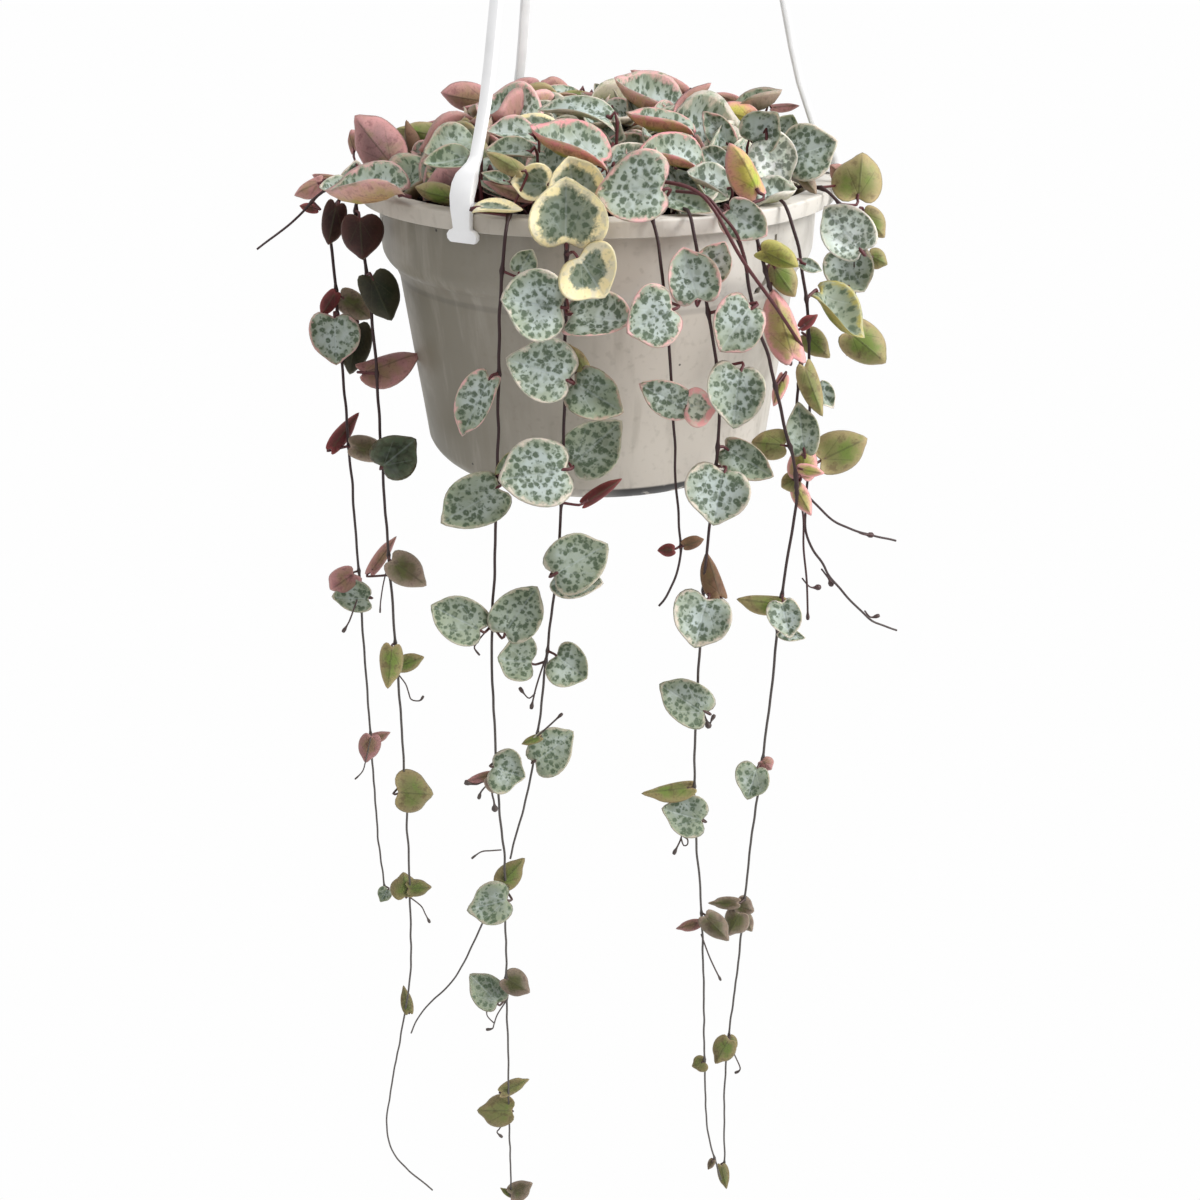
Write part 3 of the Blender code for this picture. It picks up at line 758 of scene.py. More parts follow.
@dataclass
class HangingPot:
    """The thin-walled pot, with heights measured down from the top of its rim."""

    rim_radius: float = RIM_RADIUS
    collar_radius: float = 69.8
    body_top: float = 65.0
    body_low: float = 60.2
    base_radius: float = 50.0
    base_round: float = 9.5
    height: float = 90.0
    wall: float = 1.3
    skirt: float = 4.7
    window_azimuths: tuple = (46.0, 166.0, 286.0)
    window_size: tuple = (2.8, 16.0, 6.5)
    window_drop: float = 23.5
    slot_size: tuple = (1.2, 4.0, 3.4)
    slot_drop: float = 11.0
    drain_azimuths: tuple = (30, 90, 150, 210, 270, 330)
    drain_ring: float = 32.0
    drain_radius: float = 3.0
    steps: int = 112
    sharp: float = 38.0

    def outside(self) -> list[tuple[float, float]]:
        """The outline up the outside, from the middle of the base to the rim's skirt.

        Returns:
            Radius and height of each point.
        """
        h = self.height
        r = self.base_round
        points = [(0.0, -h + 1.0), (self.base_radius - 4.0, -h + 1.0), (self.base_radius - 3.0, -h)]
        points += arc((self.base_radius, -h + r), r, -90, -18, 8)
        points += [(self.body_low, -72.0), (self.body_low + 1.6, -58.0), (self.body_top - 0.2, -30.0),
                   (self.body_top, -28.6)]
        points += arc((self.collar_radius - 7.0, -19.0), 7.0, -58, 0, 7)
        return points + [(self.collar_radius, -6.0)]

    def rim(self) -> list[tuple[float, float]]:
        """The outline round the skirted rim, from the collar's outside to its inside.

        Returns:
            Radius and height of each point.
        """
        w = self.wall
        collar = self.collar_radius
        inner = self.rim_radius - w
        points = [(collar, -w - 0.4), (collar + 0.4, -w), (inner - 0.3, -w), (inner, -w - 0.3),
                  (inner, 0.2 - self.skirt), (inner + 0.2, -self.skirt),
                  (self.rim_radius - 0.2, -self.skirt), (self.rim_radius, 0.2 - self.skirt)]
        points += arc((self.rim_radius - 0.7, -0.7), 0.7, 0, 90, 4)
        return points + [(collar - 0.3, 0.0), (collar - w + 0.2, -0.15), (collar - w, -0.5)]

    def inside(self) -> list[tuple[float, float]]:
        """The outline down the inside, back to the middle of the base.

        Returns:
            Radius and height of each point.
        """
        h = self.height
        w = self.wall
        r = self.base_round
        points = [(self.collar_radius - w, -18.0)]
        points += arc((self.collar_radius - w - 6.0, -18.0), 6.0, -10, -54, 4)
        points += [(self.body_top - w, -28.5), (self.body_low - w, -72.0)]
        points += arc((self.base_radius - w, -h + r), r - w, -18, -90, 6)
        return points + [(0.0, -h + w + 0.9)]

    def drain(self, azimuth: float) -> bmesh.types.BMesh:
        """The round bar that cuts one drainage hole.

        Args:
            azimuth: the hole's place round the base, in degrees.

        Returns:
            The bar.
        """
        bar = bmesh.new()
        place = azimuth_point(azimuth, self.drain_ring, RIM_Z - self.height + 0.6)
        bmesh.ops.create_cone(bar, cap_ends=True, segments=24, radius1=self.drain_radius,
                              radius2=self.drain_radius, depth=6.0, matrix=Matrix.Translation(place))
        return bar

    def build(self, finishes: Finishes) -> None:
        """Make the pot with its windows, slots and drainage holes.

        Args:
            finishes: the object's materials.
        """
        cutters = []
        for azimuth in self.window_azimuths:
            window = azimuth_point(azimuth, self.collar_radius - 2.5, RIM_Z - self.window_drop)
            cutters.append(box_at(self.window_size, window, azimuth))
            slot = azimuth_point(azimuth + 2.0, self.collar_radius - 0.6, RIM_Z - self.slot_drop)
            cutters.append(box_at(self.slot_size, slot, azimuth))
        cutters += [self.drain(azimuth) for azimuth in self.drain_azimuths]
        outline = [(r, z + RIM_Z) for r, z in self.outside() + self.rim() + self.inside()]
        body = carve(turned(outline, self.steps), cutters)
        finish_piece("pot_shell", body, finishes.pot, ["pot"], self.sharp)


@dataclass
class PottingSoil:
    """The soil: a rough surface on a plain plug, with loose crumbs on top."""

    radius: float = 68.0
    profile: tuple = ((0.0, -88.2), (46.0, -88.2), (53.5, -84.5), (56.4, -78.0), (58.4, -72.0),
                      (63.2, -29.5), (66.5, -21.5), (68.0, -16.0))
    rings: int = 20
    steps: int = 72
    crown: float = 1.2
    crumbs: int = 420
    crumb_reach: float = 66.0
    seed: int = 11

    def surface(self, x: float, y: float) -> float:
        """Height of the soil at a place.

        Args:
            x: the place to the right.
            y: the place to the back.

        Returns:
            The height, in millimetres.
        """
        reach = math.hypot(x, y) / self.radius
        lump = noise.noise(Vector((x, y, 0.0)) * 0.09) * 1.6 + noise.noise(Vector((x, y, 9.0)) * 0.32) * 0.9
        return SOIL_Z + self.crown * (1.0 - reach) + lump * (1.0 - reach ** 6)

    def plug(self) -> bmesh.types.BMesh:
        """The body of soil with its rough top.

        Returns:
            The mesh.
        """
        outline = [(r, RIM_Z + z) for r, z in self.profile]
        outline += [(self.radius * (1.0 - i / self.rings), SOIL_Z) for i in range(self.rings)]
        bm = turned(outline + [(0.0, SOIL_Z)], self.steps)
        for vert in bm.verts:
            if vert.co.z > SOIL_Z - 0.1:
                vert.co.z = self.surface(vert.co.x, vert.co.y)
        return bm

    def crumb(self, rng: random.Random) -> Matrix:
        """The place, turn and shape of the next loose crumb.

        Args:
            rng: the source of random numbers.

        Returns:
            The matrix for a ball of unit radius.
        """
        a = rng.uniform(0, math.tau)
        r = self.crumb_reach * math.sqrt(rng.random())
        x, y = r * math.cos(a), r * math.sin(a)
        size = rng.uniform(0.5, 1.7)
        turn = Euler([rng.uniform(0, math.tau) for _ in range(3)]).to_matrix().to_4x4()
        squash = Matrix.Diagonal((size, size * rng.uniform(0.5, 1.0), size * rng.uniform(0.4, 0.9), 1.0))
        return Matrix.Translation((x, y, self.surface(x, y) + size * 0.25)) @ turn @ squash

    def build(self, finishes: Finishes) -> None:
        """Make the plug and its crumbs.

        Args:
            finishes: the object's materials.
        """
        finish_piece("soil_plug", self.plug(), finishes.soil, ["soil"])
        rng = random.Random(self.seed)
        loose = bmesh.new()
        for _ in range(self.crumbs):
            bmesh.ops.create_icosphere(loose, subdivisions=1, radius=1.0, matrix=self.crumb(rng))
        finish_piece("soil_crumbs", loose, finishes.soil)


@dataclass
class ClipHanger:
    """White hanger: a hook and hub with three flat arms that clip over the rim."""

    azimuths: tuple = (-28.5, 92.0, 205.5)
    arm_width: float = 3.2
    arm_thick: float = 2.0
    arm_round: float = 0.45
    nose_size: tuple = (7.2, 6.4, 2.0)
    nose_radius: float = 72.6
    hook_radius: float = 10.8
    tube: float = 1.8
    hub_top: float = -34.0
    hub_bottom: float = -42.0
    hub_radii: tuple = (8.0, 6.0)
    sharp: float = 40.0

    def stations(self) -> list[tuple[float, float, float, float]]:
        """Radius, height, width and thickness down one arm.

        Returns:
            One row for each cross-section, from the hub to the clip's foot.
        """
        w, t = self.arm_width, self.arm_thick
        reach = RIM_RADIUS + 0.3 + 1.0
        hub = [(4.0, self.hub_bottom + 4.0, w, 3.0), (9.0, self.hub_bottom - 1.5, w, 2.6)]
        slope = ((14.0, -70.0), (22.0, -96.0), (30.0, -122.0), (37.6, -148.0), (45.0, -174.0),
                 (51.0, -196.0))
        foot = ((56.2, 50.0), (59.8, 37.0), (63.0, 27.0), (66.0, 20.0))
        shoulder = ((68.6, 14.0, 3.3, 2.0), (70.2, 12.2, 3.6, 2.1), (71.8, 10.8, 4.8, 2.4),
                    (73.4, 9.4, 6.4, 2.6), (75.0, 7.4, 7.0, 2.6), (reach - 0.4, 4.6, 7.0, 2.3))
        clip = ((1.6, 6.7, 2.0), (-1.4, 6.0, 2.0), (-3.6, 5.6, 2.0), (-4.2, 8.4, 2.1), (-5.2, 9.8, 2.2),
                (-6.4, 9.6, 2.0), (-7.4, 8.0, 1.6))
        return (hub + [(r, z, w, t) for r, z in slope] + [(r, RIM_Z + z, w, t) for r, z in foot]
                + [(r, RIM_Z + z, *size) for r, z, *size in shoulder]
                + [(reach, RIM_Z + z, *size) for z, *size in clip])

    def bar(self) -> bmesh.types.BMesh:
        """The flat bar of one arm, along +X.

        Returns:
            The mesh, with square edges.
        """
        stations = self.stations()
        bm = bmesh.new()
        made = bmesh.ops.create_grid(bm, x_segments=1, y_segments=1, size=0.5)["verts"]
        face = made[0].link_faces[0]
        corners = [(v.co.x * 2, v.co.y * 2) for v in face.verts]
        rings = [list(face.verts)]
        for _ in stations[1:]:
            grown = bmesh.ops.extrude_face_region(bm, geom=[face])["geom"]
            if len(rings) > 1:
                bmesh.ops.delete(bm, geom=[face], context="FACES_ONLY")
            face = [g for g in grown if isinstance(g, bmesh.types.BMFace)][0]
            rings.append(list(face.verts))
        for i, (ring, (r, z, width, thick)) in enumerate(zip(rings, stations)):
            before = stations[max(i - 1, 0)]
            after = stations[min(i + 1, len(stations) - 1)]
            along = Vector((after[0] - before[0], 0.0, after[1] - before[1])).normalized()
            out = Vector((-along.z, 0.0, along.x))
            for vert, (u, v) in zip(ring, corners):
                vert.co = Vector((r, u * width / 2, z)) + out * (v * thick / 2)
        bmesh.ops.recalc_face_normals(bm, faces=bm.faces)
        return bm

    def nose(self) -> bmesh.types.BMesh:
        """The stub that rests on the rim inside the clip, along +X.

        Returns:
            The mesh.
        """
        nose = box_at(self.nose_size, Vector((self.nose_radius, 0.0, RIM_Z + 1.6)), 0.0)
        tip = [v for v in nose.verts if v.co.x < self.nose_radius - 2.6]
        level = Matrix.Translation((0, 0, -RIM_Z - 0.9))
        bmesh.ops.scale(nose, vec=(1.0, 0.8, 0.7), space=level, verts=tip)
        return nose

    def arm(self, azimuth: float) -> bmesh.types.BMesh:
        """One arm with its clip, rounded along its edges.

        Args:
            azimuth: the arm's place round the rim, in degrees.

        Returns:
            The mesh.
        """
        bm = self.bar()
        absorb(bm, self.nose())
        sharp = [e for e in bm.edges if e.is_manifold and e.calc_face_angle(0.0) > math.radians(50)]
        bmesh.ops.bevel(bm, geom=sharp, offset=self.arm_round, segments=2, profile=0.5, affect="EDGES",
                        material=-1, clamp_overlap=True)
        turn = Matrix.Rotation(math.radians(azimuth - 90.0), 4, "Z")
        bmesh.ops.transform(bm, matrix=turn, verts=bm.verts)
        return bm

    def add_hub(self, whole: bmesh.types.BMesh) -> None:
        """Add the round hub that the arms meet in.

        Args:
            whole: the mesh that the hub is added to.
        """
        centre = Matrix.Translation((0, 0, (self.hub_top + self.hub_bottom) / 2))
        low, high = self.hub_radii
        hub = bmesh.ops.create_cone(whole, cap_ends=True, segments=48, radius1=low, radius2=high,
                                    depth=self.hub_top - self.hub_bottom, matrix=centre)["verts"]
        rims = dict.fromkeys(e for v in hub for e in v.link_edges if e.calc_face_angle(0.0) > 0.6)
        bmesh.ops.bevel(whole, geom=list(rims), offset=1.0, segments=3, profile=0.5, affect="EDGES",
                        material=-1)

    def hook(self) -> bmesh.types.BMesh:
        """The round hook with its thinned end.

        Returns:
            The mesh.
        """
        crown = -(self.hook_radius - self.tube)
        path = [Vector((0, 0, self.hub_top - 3.0)), Vector((0, 0, -28.5))]
        for degrees in range(-56, 205, 26):
            a = math.radians(degrees)
            path.append(Vector((self.hook_radius * math.cos(a), 0, crown + self.hook_radius * math.sin(a))))
        line = curve_through(path, 1.2)
        radii = [self.tube] * (len(line) - 2) + [self.tube * 0.85, self.tube * 0.45]
        return tubes([Strand(line, radii)])

    def build(self, finishes: Finishes) -> None:
        """Make the arms, the hub and the hook as one piece.

        Args:
            finishes: the object's materials.
        """
        whole = bmesh.new()
        for azimuth in self.azimuths:
            absorb(whole, self.arm(azimuth))
        self.add_hub(whole)
        absorb(whole, self.hook())
        finish_piece("hanger_moulding", whole, finishes.hanger, ["hanger"], self.sharp)


# ------------------------------------------------------------------ stems

@dataclass
class Stem:
    """A trailing stem: its CAD node, the azimuth where it crosses the rim, and where it hangs."""

    node: str
    azimuth: float | None
    hangs: tuple
    start_radius: float = 0.52
    end_radius: float = 0.36
    over: tuple = ((50.0, -8.2), (59.0, -4.6), (66.5, 0.9), (71.5, 1.5), (76.4, 0.9))
    step: float = 1.5
    swell: float = 0.7
    swell_length: float = 1.1
    wander: float = 0.35
    joints: list = field(default_factory=list)

    def centre_line(self) -> list[Vector]:
        """The line from the soil, over the rim and down, at about an even step.

        Returns:
            The line's points.
        """
        points = []
        if self.azimuth is not None:
            points = [azimuth_point(self.azimuth, r, RIM_Z + z) for r, z in self.over]
        points += [Vector(p) for p in self.hangs]
        return curve_through(points, self.step)

    def strand(self, seed: int) -> Strand:
        """The stem as a strand that thins downwards and swells at its joints.

        Args:
            seed: the stem's own number, for its small wander.

        Returns:
            The strand.
        """
        line = self.centre_line()
        radii = []
        for index, place in enumerate(line):
            share = index / (len(line) - 1)
            radius = self.start_radius + (self.end_radius - self.start_radius) * share
            near = min(((place - joint).length for joint in self.joints), default=9.0)
            radii.append(radius * (1.0 + self.swell * math.exp(-(near / self.swell_length) ** 2)))
            push = noise.noise_vector(place * 0.12 + Vector((seed * 7.0, 0, 0)))
            place += push * self.wander * min(1.0, index / 12)
        return Strand(line, radii)


STEMS: dict[str, Stem] = {
    "left_outer": Stem("stem_left_outer", -78, (
        (-83, -17, -276), (-84, -17, -298), (-85, -17, -345), (-86, -17, -387), (-88, -17, -450),
        (-90, -17, -513), (-90, -17, -542), (-89, -17, -552))),
    "left_inner": Stem("stem_left_inner", -67, (
        (-73, -29, -273), (-71, -30, -289), (-71, -30, -323), (-72, -30, -366), (-73, -30, -420),
        (-74, -30, -471), (-77, -30, -544), (-81, -30, -592), (-93, -30, -651), (-98, -30, -680),
        (-97, -30, -699), (-91, -30, -712), (-80, -30, -728))),
    "centre_left": Stem("stem_centre_left", -18, (
        (-25, -77, -273), (-27, -76, -294), (-29, -75, -330), (-31, -73, -360), (-34, -73, -403),
        (-34, -73, -463), (-33, -73, -486), (-34, -73, -524), (-36, -73, -605), (-37, -73, -661),
        (-37, -73, -712))),
    "centre": Stem("stem_centre", -6, (
        (-8, -79, -272), (-9, -80, -304), (-10, -78, -335), (-12, -76, -364), (-16, -75, -398),
        (-22, -74, -445), (-31, -74, -484))),
    "centre_right": Stem("stem_centre_right", 11, (
        (17, -79, -275), (20, -79, -299), (23, -78, -338), (25, -78, -363), (22, -78, -375),
        (19, -78, -380))),
    "right_inner": Stem("stem_right_inner", 19, (
        (27, -77, -274), (34, -76, -308), (35, -74, -333), (33, -74, -377), (33, -74, -454),
        (38, -74, -513), (42, -74, -586), (45, -74, -628), (52, -74, -659))),
    "right": Stem("stem_right", 26, (
        (39, -73, -273), (44, -74, -292), (49, -73, -305), (54, -70, -322), (60, -66, -341),
        (61, -64, -356), (59, -64, -387), (58, -64, -428), (55, -64, -493), (54, -64, -543),
        (52, -64, -600), (54, -64, -653), (56, -64, -677))),
    "right_side": Stem("stem_right_side", 33, (
        (46, -66, -278), (54, -60, -300), (60, -58, -308), (60, -58, -321), (62, -60, -345),
        (66, -58, -352), (76, -52, -363), (86, -46, -370), (100, -40, -376))),
    "far_right": Stem("stem_far_right", 43, (
        (56, -57, -273), (60, -56, -288), (63, -54, -306), (65, -55, -330), (66, -54, -348),
        (66, -59, -364), (72, -58, -375), (77, -56, -383), (91, -52, -399), (102, -48, -406))),
    "right_back": Stem("", 62, (
        (74, -41, -272), (77, -38, -284), (78, -40, -298), (77, -42, -312))),
    "far_left": Stem("shoot_far_left", -73, (
        (-78, -25, -264), (-84, -27, -267), (-92, -32, -274), (-101, -40, -280)), 0.5, 0.3),
    "low": Stem("shoot_low", None, (
        (-34, -74.5, -496), (-41, -75, -511), (-53, -76, -539), (-66, -77, -555), (-72, -77, -568)),
        0.4, 0.3),
}


@dataclass(frozen=True)
class Tendril:
    """A thin side shoot or flower stalk of a stem, with a swelling at its end."""

    line: tuple
    radius: float = 0.30
    bud: float = 0.45
    flush: float = 0.35
    step: float = 0.8

    def strand(self) -> Strand:
        """The tendril as a strand.

        Returns:
            The strand, with a swelling near its end.
        """
        points = curve_through([Vector(p) for p in self.line], self.step)
        radii = []
        for place in points:
            from_end = (place - points[-1]).length
            radii.append(self.radius + self.bud * math.exp(-((from_end - 0.9) / 1.1) ** 2))
        return Strand(points, radii, self.flush)


TENDRILS: dict[str, tuple[Tendril, ...]] = {
    "left_outer": (
        Tendril(((-86, -26, -406), (-88, -30, -411), (-89, -31, -413), (-91, -32, -416))),
        Tendril(((-88, -20, -470), (-89, -28, -475), (-90, -31, -478), (-93, -32, -481)), 0.26, 0.1),
    ),
    "left_inner": (
        Tendril(((-73, -31, -390), (-75, -32, -397), (-76.5, -32, -404), (-77, -32, -408)), 0.26, 0.1),
        Tendril(((-73, -30, -435), (-70.5, -31, -438.5), (-69.5, -32, -441.5), (-68.5, -33, -444),
                 (-65.5, -33, -444.5), (-64, -33, -442.5)), 0.26, 0.3),
        Tendril(((-77, -31, -541), (-72.5, -31, -546), (-71, -31, -550.5),
                 (-69.5, -31, -555)), 0.28, 0.4),
    ),
    "centre_left": (
        Tendril(((-34, -74, -390), (-36.5, -75, -392.5), (-38.5, -76, -395), (-39, -76, -396.5),
                 (-37.5, -76, -399)), 0.26, 0.1),
        Tendril(((-34, -74, -448), (-37, -75, -450.5), (-39.5, -76, -453), (-40.5, -76, -456))),
        Tendril(((-34, -74, -447), (-37.5, -75, -448.5), (-41, -76, -450), (-45, -76, -449)), 0.3, 0.7),
        Tendril(((-34.5, -74, -449), (-36, -74.5, -454), (-35.5, -75, -458),
                 (-35.3, -75, -462)), 0.34, 0.9),
        Tendril(((-34, -73, -481), (-37.5, -74, -480.5), (-41, -74, -481),
                 (-44.5, -74, -484)), 0.26, 0.2),
        Tendril(((-34.5, -73, -497), (-35, -74, -502), (-34.5, -74.5, -506)), 0.28, 0.5),
        Tendril(((-35, -73, -555), (-38.5, -74, -561), (-40, -74, -566), (-41, -73, -570),
                 (-43.5, -73, -570.5)), 0.28, 0.35),
        Tendril(((-40, -74, -566), (-42.5, -74, -562), (-42.5, -74, -557.5)), 0.24, 0.4),
        Tendril(((-36.5, -73, -618), (-40, -74, -626), (-41.5, -74, -629),
                 (-39.5, -74, -632)), 0.28, 0.4),
    ),
    "centre": (
        Tendril(((-16.5, -76, -400), (-18.5, -77, -406), (-20, -78, -411), (-21.5, -78, -418))),
        Tendril(((-20, -78, -412), (-22, -78, -414), (-23.5, -78, -412.5),
                 (-25, -78, -410)), 0.24, 0.5),
        Tendril(((-20, -75, -431), (-15.5, -77, -425), (-11.5, -78, -420)), 0.30, 0.3),
    ),
    "right_inner": (
        Tendril(((33, -75, -417), (35, -77, -421.5), (36.5, -78, -425.5)), 0.28, 0.9),
        Tendril(((36.5, -78, -425.5), (37, -78, -423), (38, -78, -420.5)), 0.26, 0.5),
        Tendril(((33.5, -74, -468), (30, -75, -471), (28.5, -76, -475), (26.5, -77, -479.5))),
        Tendril(((29, -76, -473.5), (30, -76, -476.5), (31.3, -76, -476), (31.2, -76, -473.6),
                 (29.8, -76, -472.5)), 0.26, 0.1),
        Tendril(((38, -74, -520), (41, -75, -529), (43.5, -76, -535), (46, -76, -541)), 0.3, 0.25),
        Tendril(((6, -64, -256), (15, -74, -255), (24, -79, -256), (30, -82, -260.5), (38.5, -80, -274),
                 (49, -74, -288), (58.5, -67, -301.5)), 0.52, 0.1, 0.85),
        Tendril(((21, -72, -258), (28, -79, -258), (33, -79.5, -263), (37, -78, -268),
                 (39.5, -76, -274.5), (42, -71, -284)), 0.46, 0.0, 0.7),
    ),
    "right": (
        Tendril(((52, -65, -584), (54.5, -68, -590), (57, -70, -596), (55, -70, -598.5)), 0.28, 0.3),
    ),
    "right_side": (
        Tendril(((62, -60, -348), (64.5, -60, -358), (65.5, -60, -369), (67.5, -60, -381),
                 (69, -60, -395)), 0.34, 0.3),
        Tendril(((84.5, -46.5, -369.2), (87.5, -45.5, -371), (91, -44, -372)), 0.3, 0.75),
        Tendril(((66, -59.5, -380), (69, -59, -383.5), (72.5, -58, -384)), 0.26, 0.8),
    ),
    "far_right": (
        Tendril(((72.5, -57, -378), (75.5, -55, -382.5), (77, -54, -385.5)), 0.3, 0.75),
        Tendril(((89.5, -51.5, -396.5), (92, -50.5, -399.5), (95, -50, -399)), 0.28, 0.5),
    ),
}


# ------------------------------------------------------------------ leaves

@dataclass(frozen=True)
class Tint:
    """One kind of variegation: skin above and below, margin, its width, and the spots' strength."""

    face: Colour
    back: Colour
    margin: Colour
    band: float
    spots: float


class Look(Enum):
    """The kinds of leaf that the plant carries, with darker copies that paint shade on leaves that hang in
    shadow.
    """

    GREEN = Tint(shade(154, 164, 150), shade(116, 119, 72), shade(186, 178, 160), 0.04, 1.0)
    MINT = Tint(shade(180, 191, 186), shade(124, 124, 74), shade(208, 196, 182), 0.05, 1.0)
    PALE = Tint(shade(222, 230, 228), shade(150, 150, 100), shade(226, 218, 208), 0.04, 0.9)
    WHITE = Tint(shade(250, 253, 252), shade(150, 150, 100), shade(232, 226, 216), 0.04, 0.8)
    CREAM = Tint(shade(127, 136, 123), shade(165, 151, 81), shade(240, 224, 176), 0.31, 0.9)
    PINK = Tint(shade(178, 188, 182), shade(184, 146, 98), shade(214, 166, 164), 0.045, 1.0)
    BLUSH = Tint(shade(180, 190, 184), shade(182, 172, 84), shade(224, 148, 152), 0.05, 1.0)
    ROSE = Tint(shade(190, 192, 176), shade(160, 146, 90), shade(219, 158, 156), 0.32, 0.9)
    MAUVE = Tint(shade(120, 118, 104), shade(158, 112, 110), shade(190, 140, 138), 0.10, 0.6)
    PLUM = Tint(shade(120, 118, 104), shade(137, 103, 102), shade(184, 134, 132), 0.08, 0.4)
    OLIVE = Tint(shade(117, 127, 95), shade(124, 126, 76), shade(168, 148, 110), 0.06, 0.7)
    RED = Tint(shade(95, 45, 43), shade(94, 39, 42), shade(134, 62, 64), 0.2, 0.1)
    # Painted shade: a darker copy of the grey-green leaf, for leaves that hang in shade.
    SHADE = Tint(shade(144, 155, 140), shade(98, 88, 62), shade(172, 150, 136), 0.05, 1.0)
    # Painted shade: a near-black green for leaves deep in shade on the left strands.
    DARK = Tint(shade(38, 44, 25), shade(32, 34, 18), shade(66, 60, 42), 0.06, 0.6)
    # Painted shade: a dark red-brown for mauve undersides in the shade under the rim.
    RED_SHADE = Tint(shade(48, 26, 22), shade(46, 21, 17), shade(78, 44, 38), 0.08, 0.3)
    YELLOW = Tint(shade(158, 166, 152), shade(122, 122, 52), shade(176, 166, 96), 0.12, 0.9)
    BROWN = Tint(shade(104, 80, 56), shade(98, 72, 52), shade(124, 92, 72), 0.10, 0.3)


@dataclass(frozen=True)
class Leaf:
    """A leaf: its stem, its notch, the turn of its blade, its size in millimetres and its look.

    The turn is heading, pitch and roll.  A leaf without a piece of its own is on its stem's strand.
    """

    stem: str
    at: tuple
    turn: tuple
    length: float
    width: float
    look: Look
    own_piece: str = ""
    fold: float = 8.0
    cup: float = 5.2

    @property
    def piece(self) -> str:
        """The piece that the leaf is part of."""
        return self.own_piece or "strand_" + self.stem

    @property
    def nodes(self) -> list[str]:
        """The CAD node that the leaf stands for, if it has one."""
        kind, _, name = self.piece.partition("_")
        return ["leaf_" + name] if kind == "heart" else []

    def placing(self) -> Matrix:
        """The matrix from the blade's own axes, with its tip along +Y, to the plant."""
        heading, pitch, roll = (math.radians(a) for a in self.turn)
        return Matrix.Translation(self.at) @ Euler((pitch, roll, heading), "YXZ").to_matrix().to_4x4()


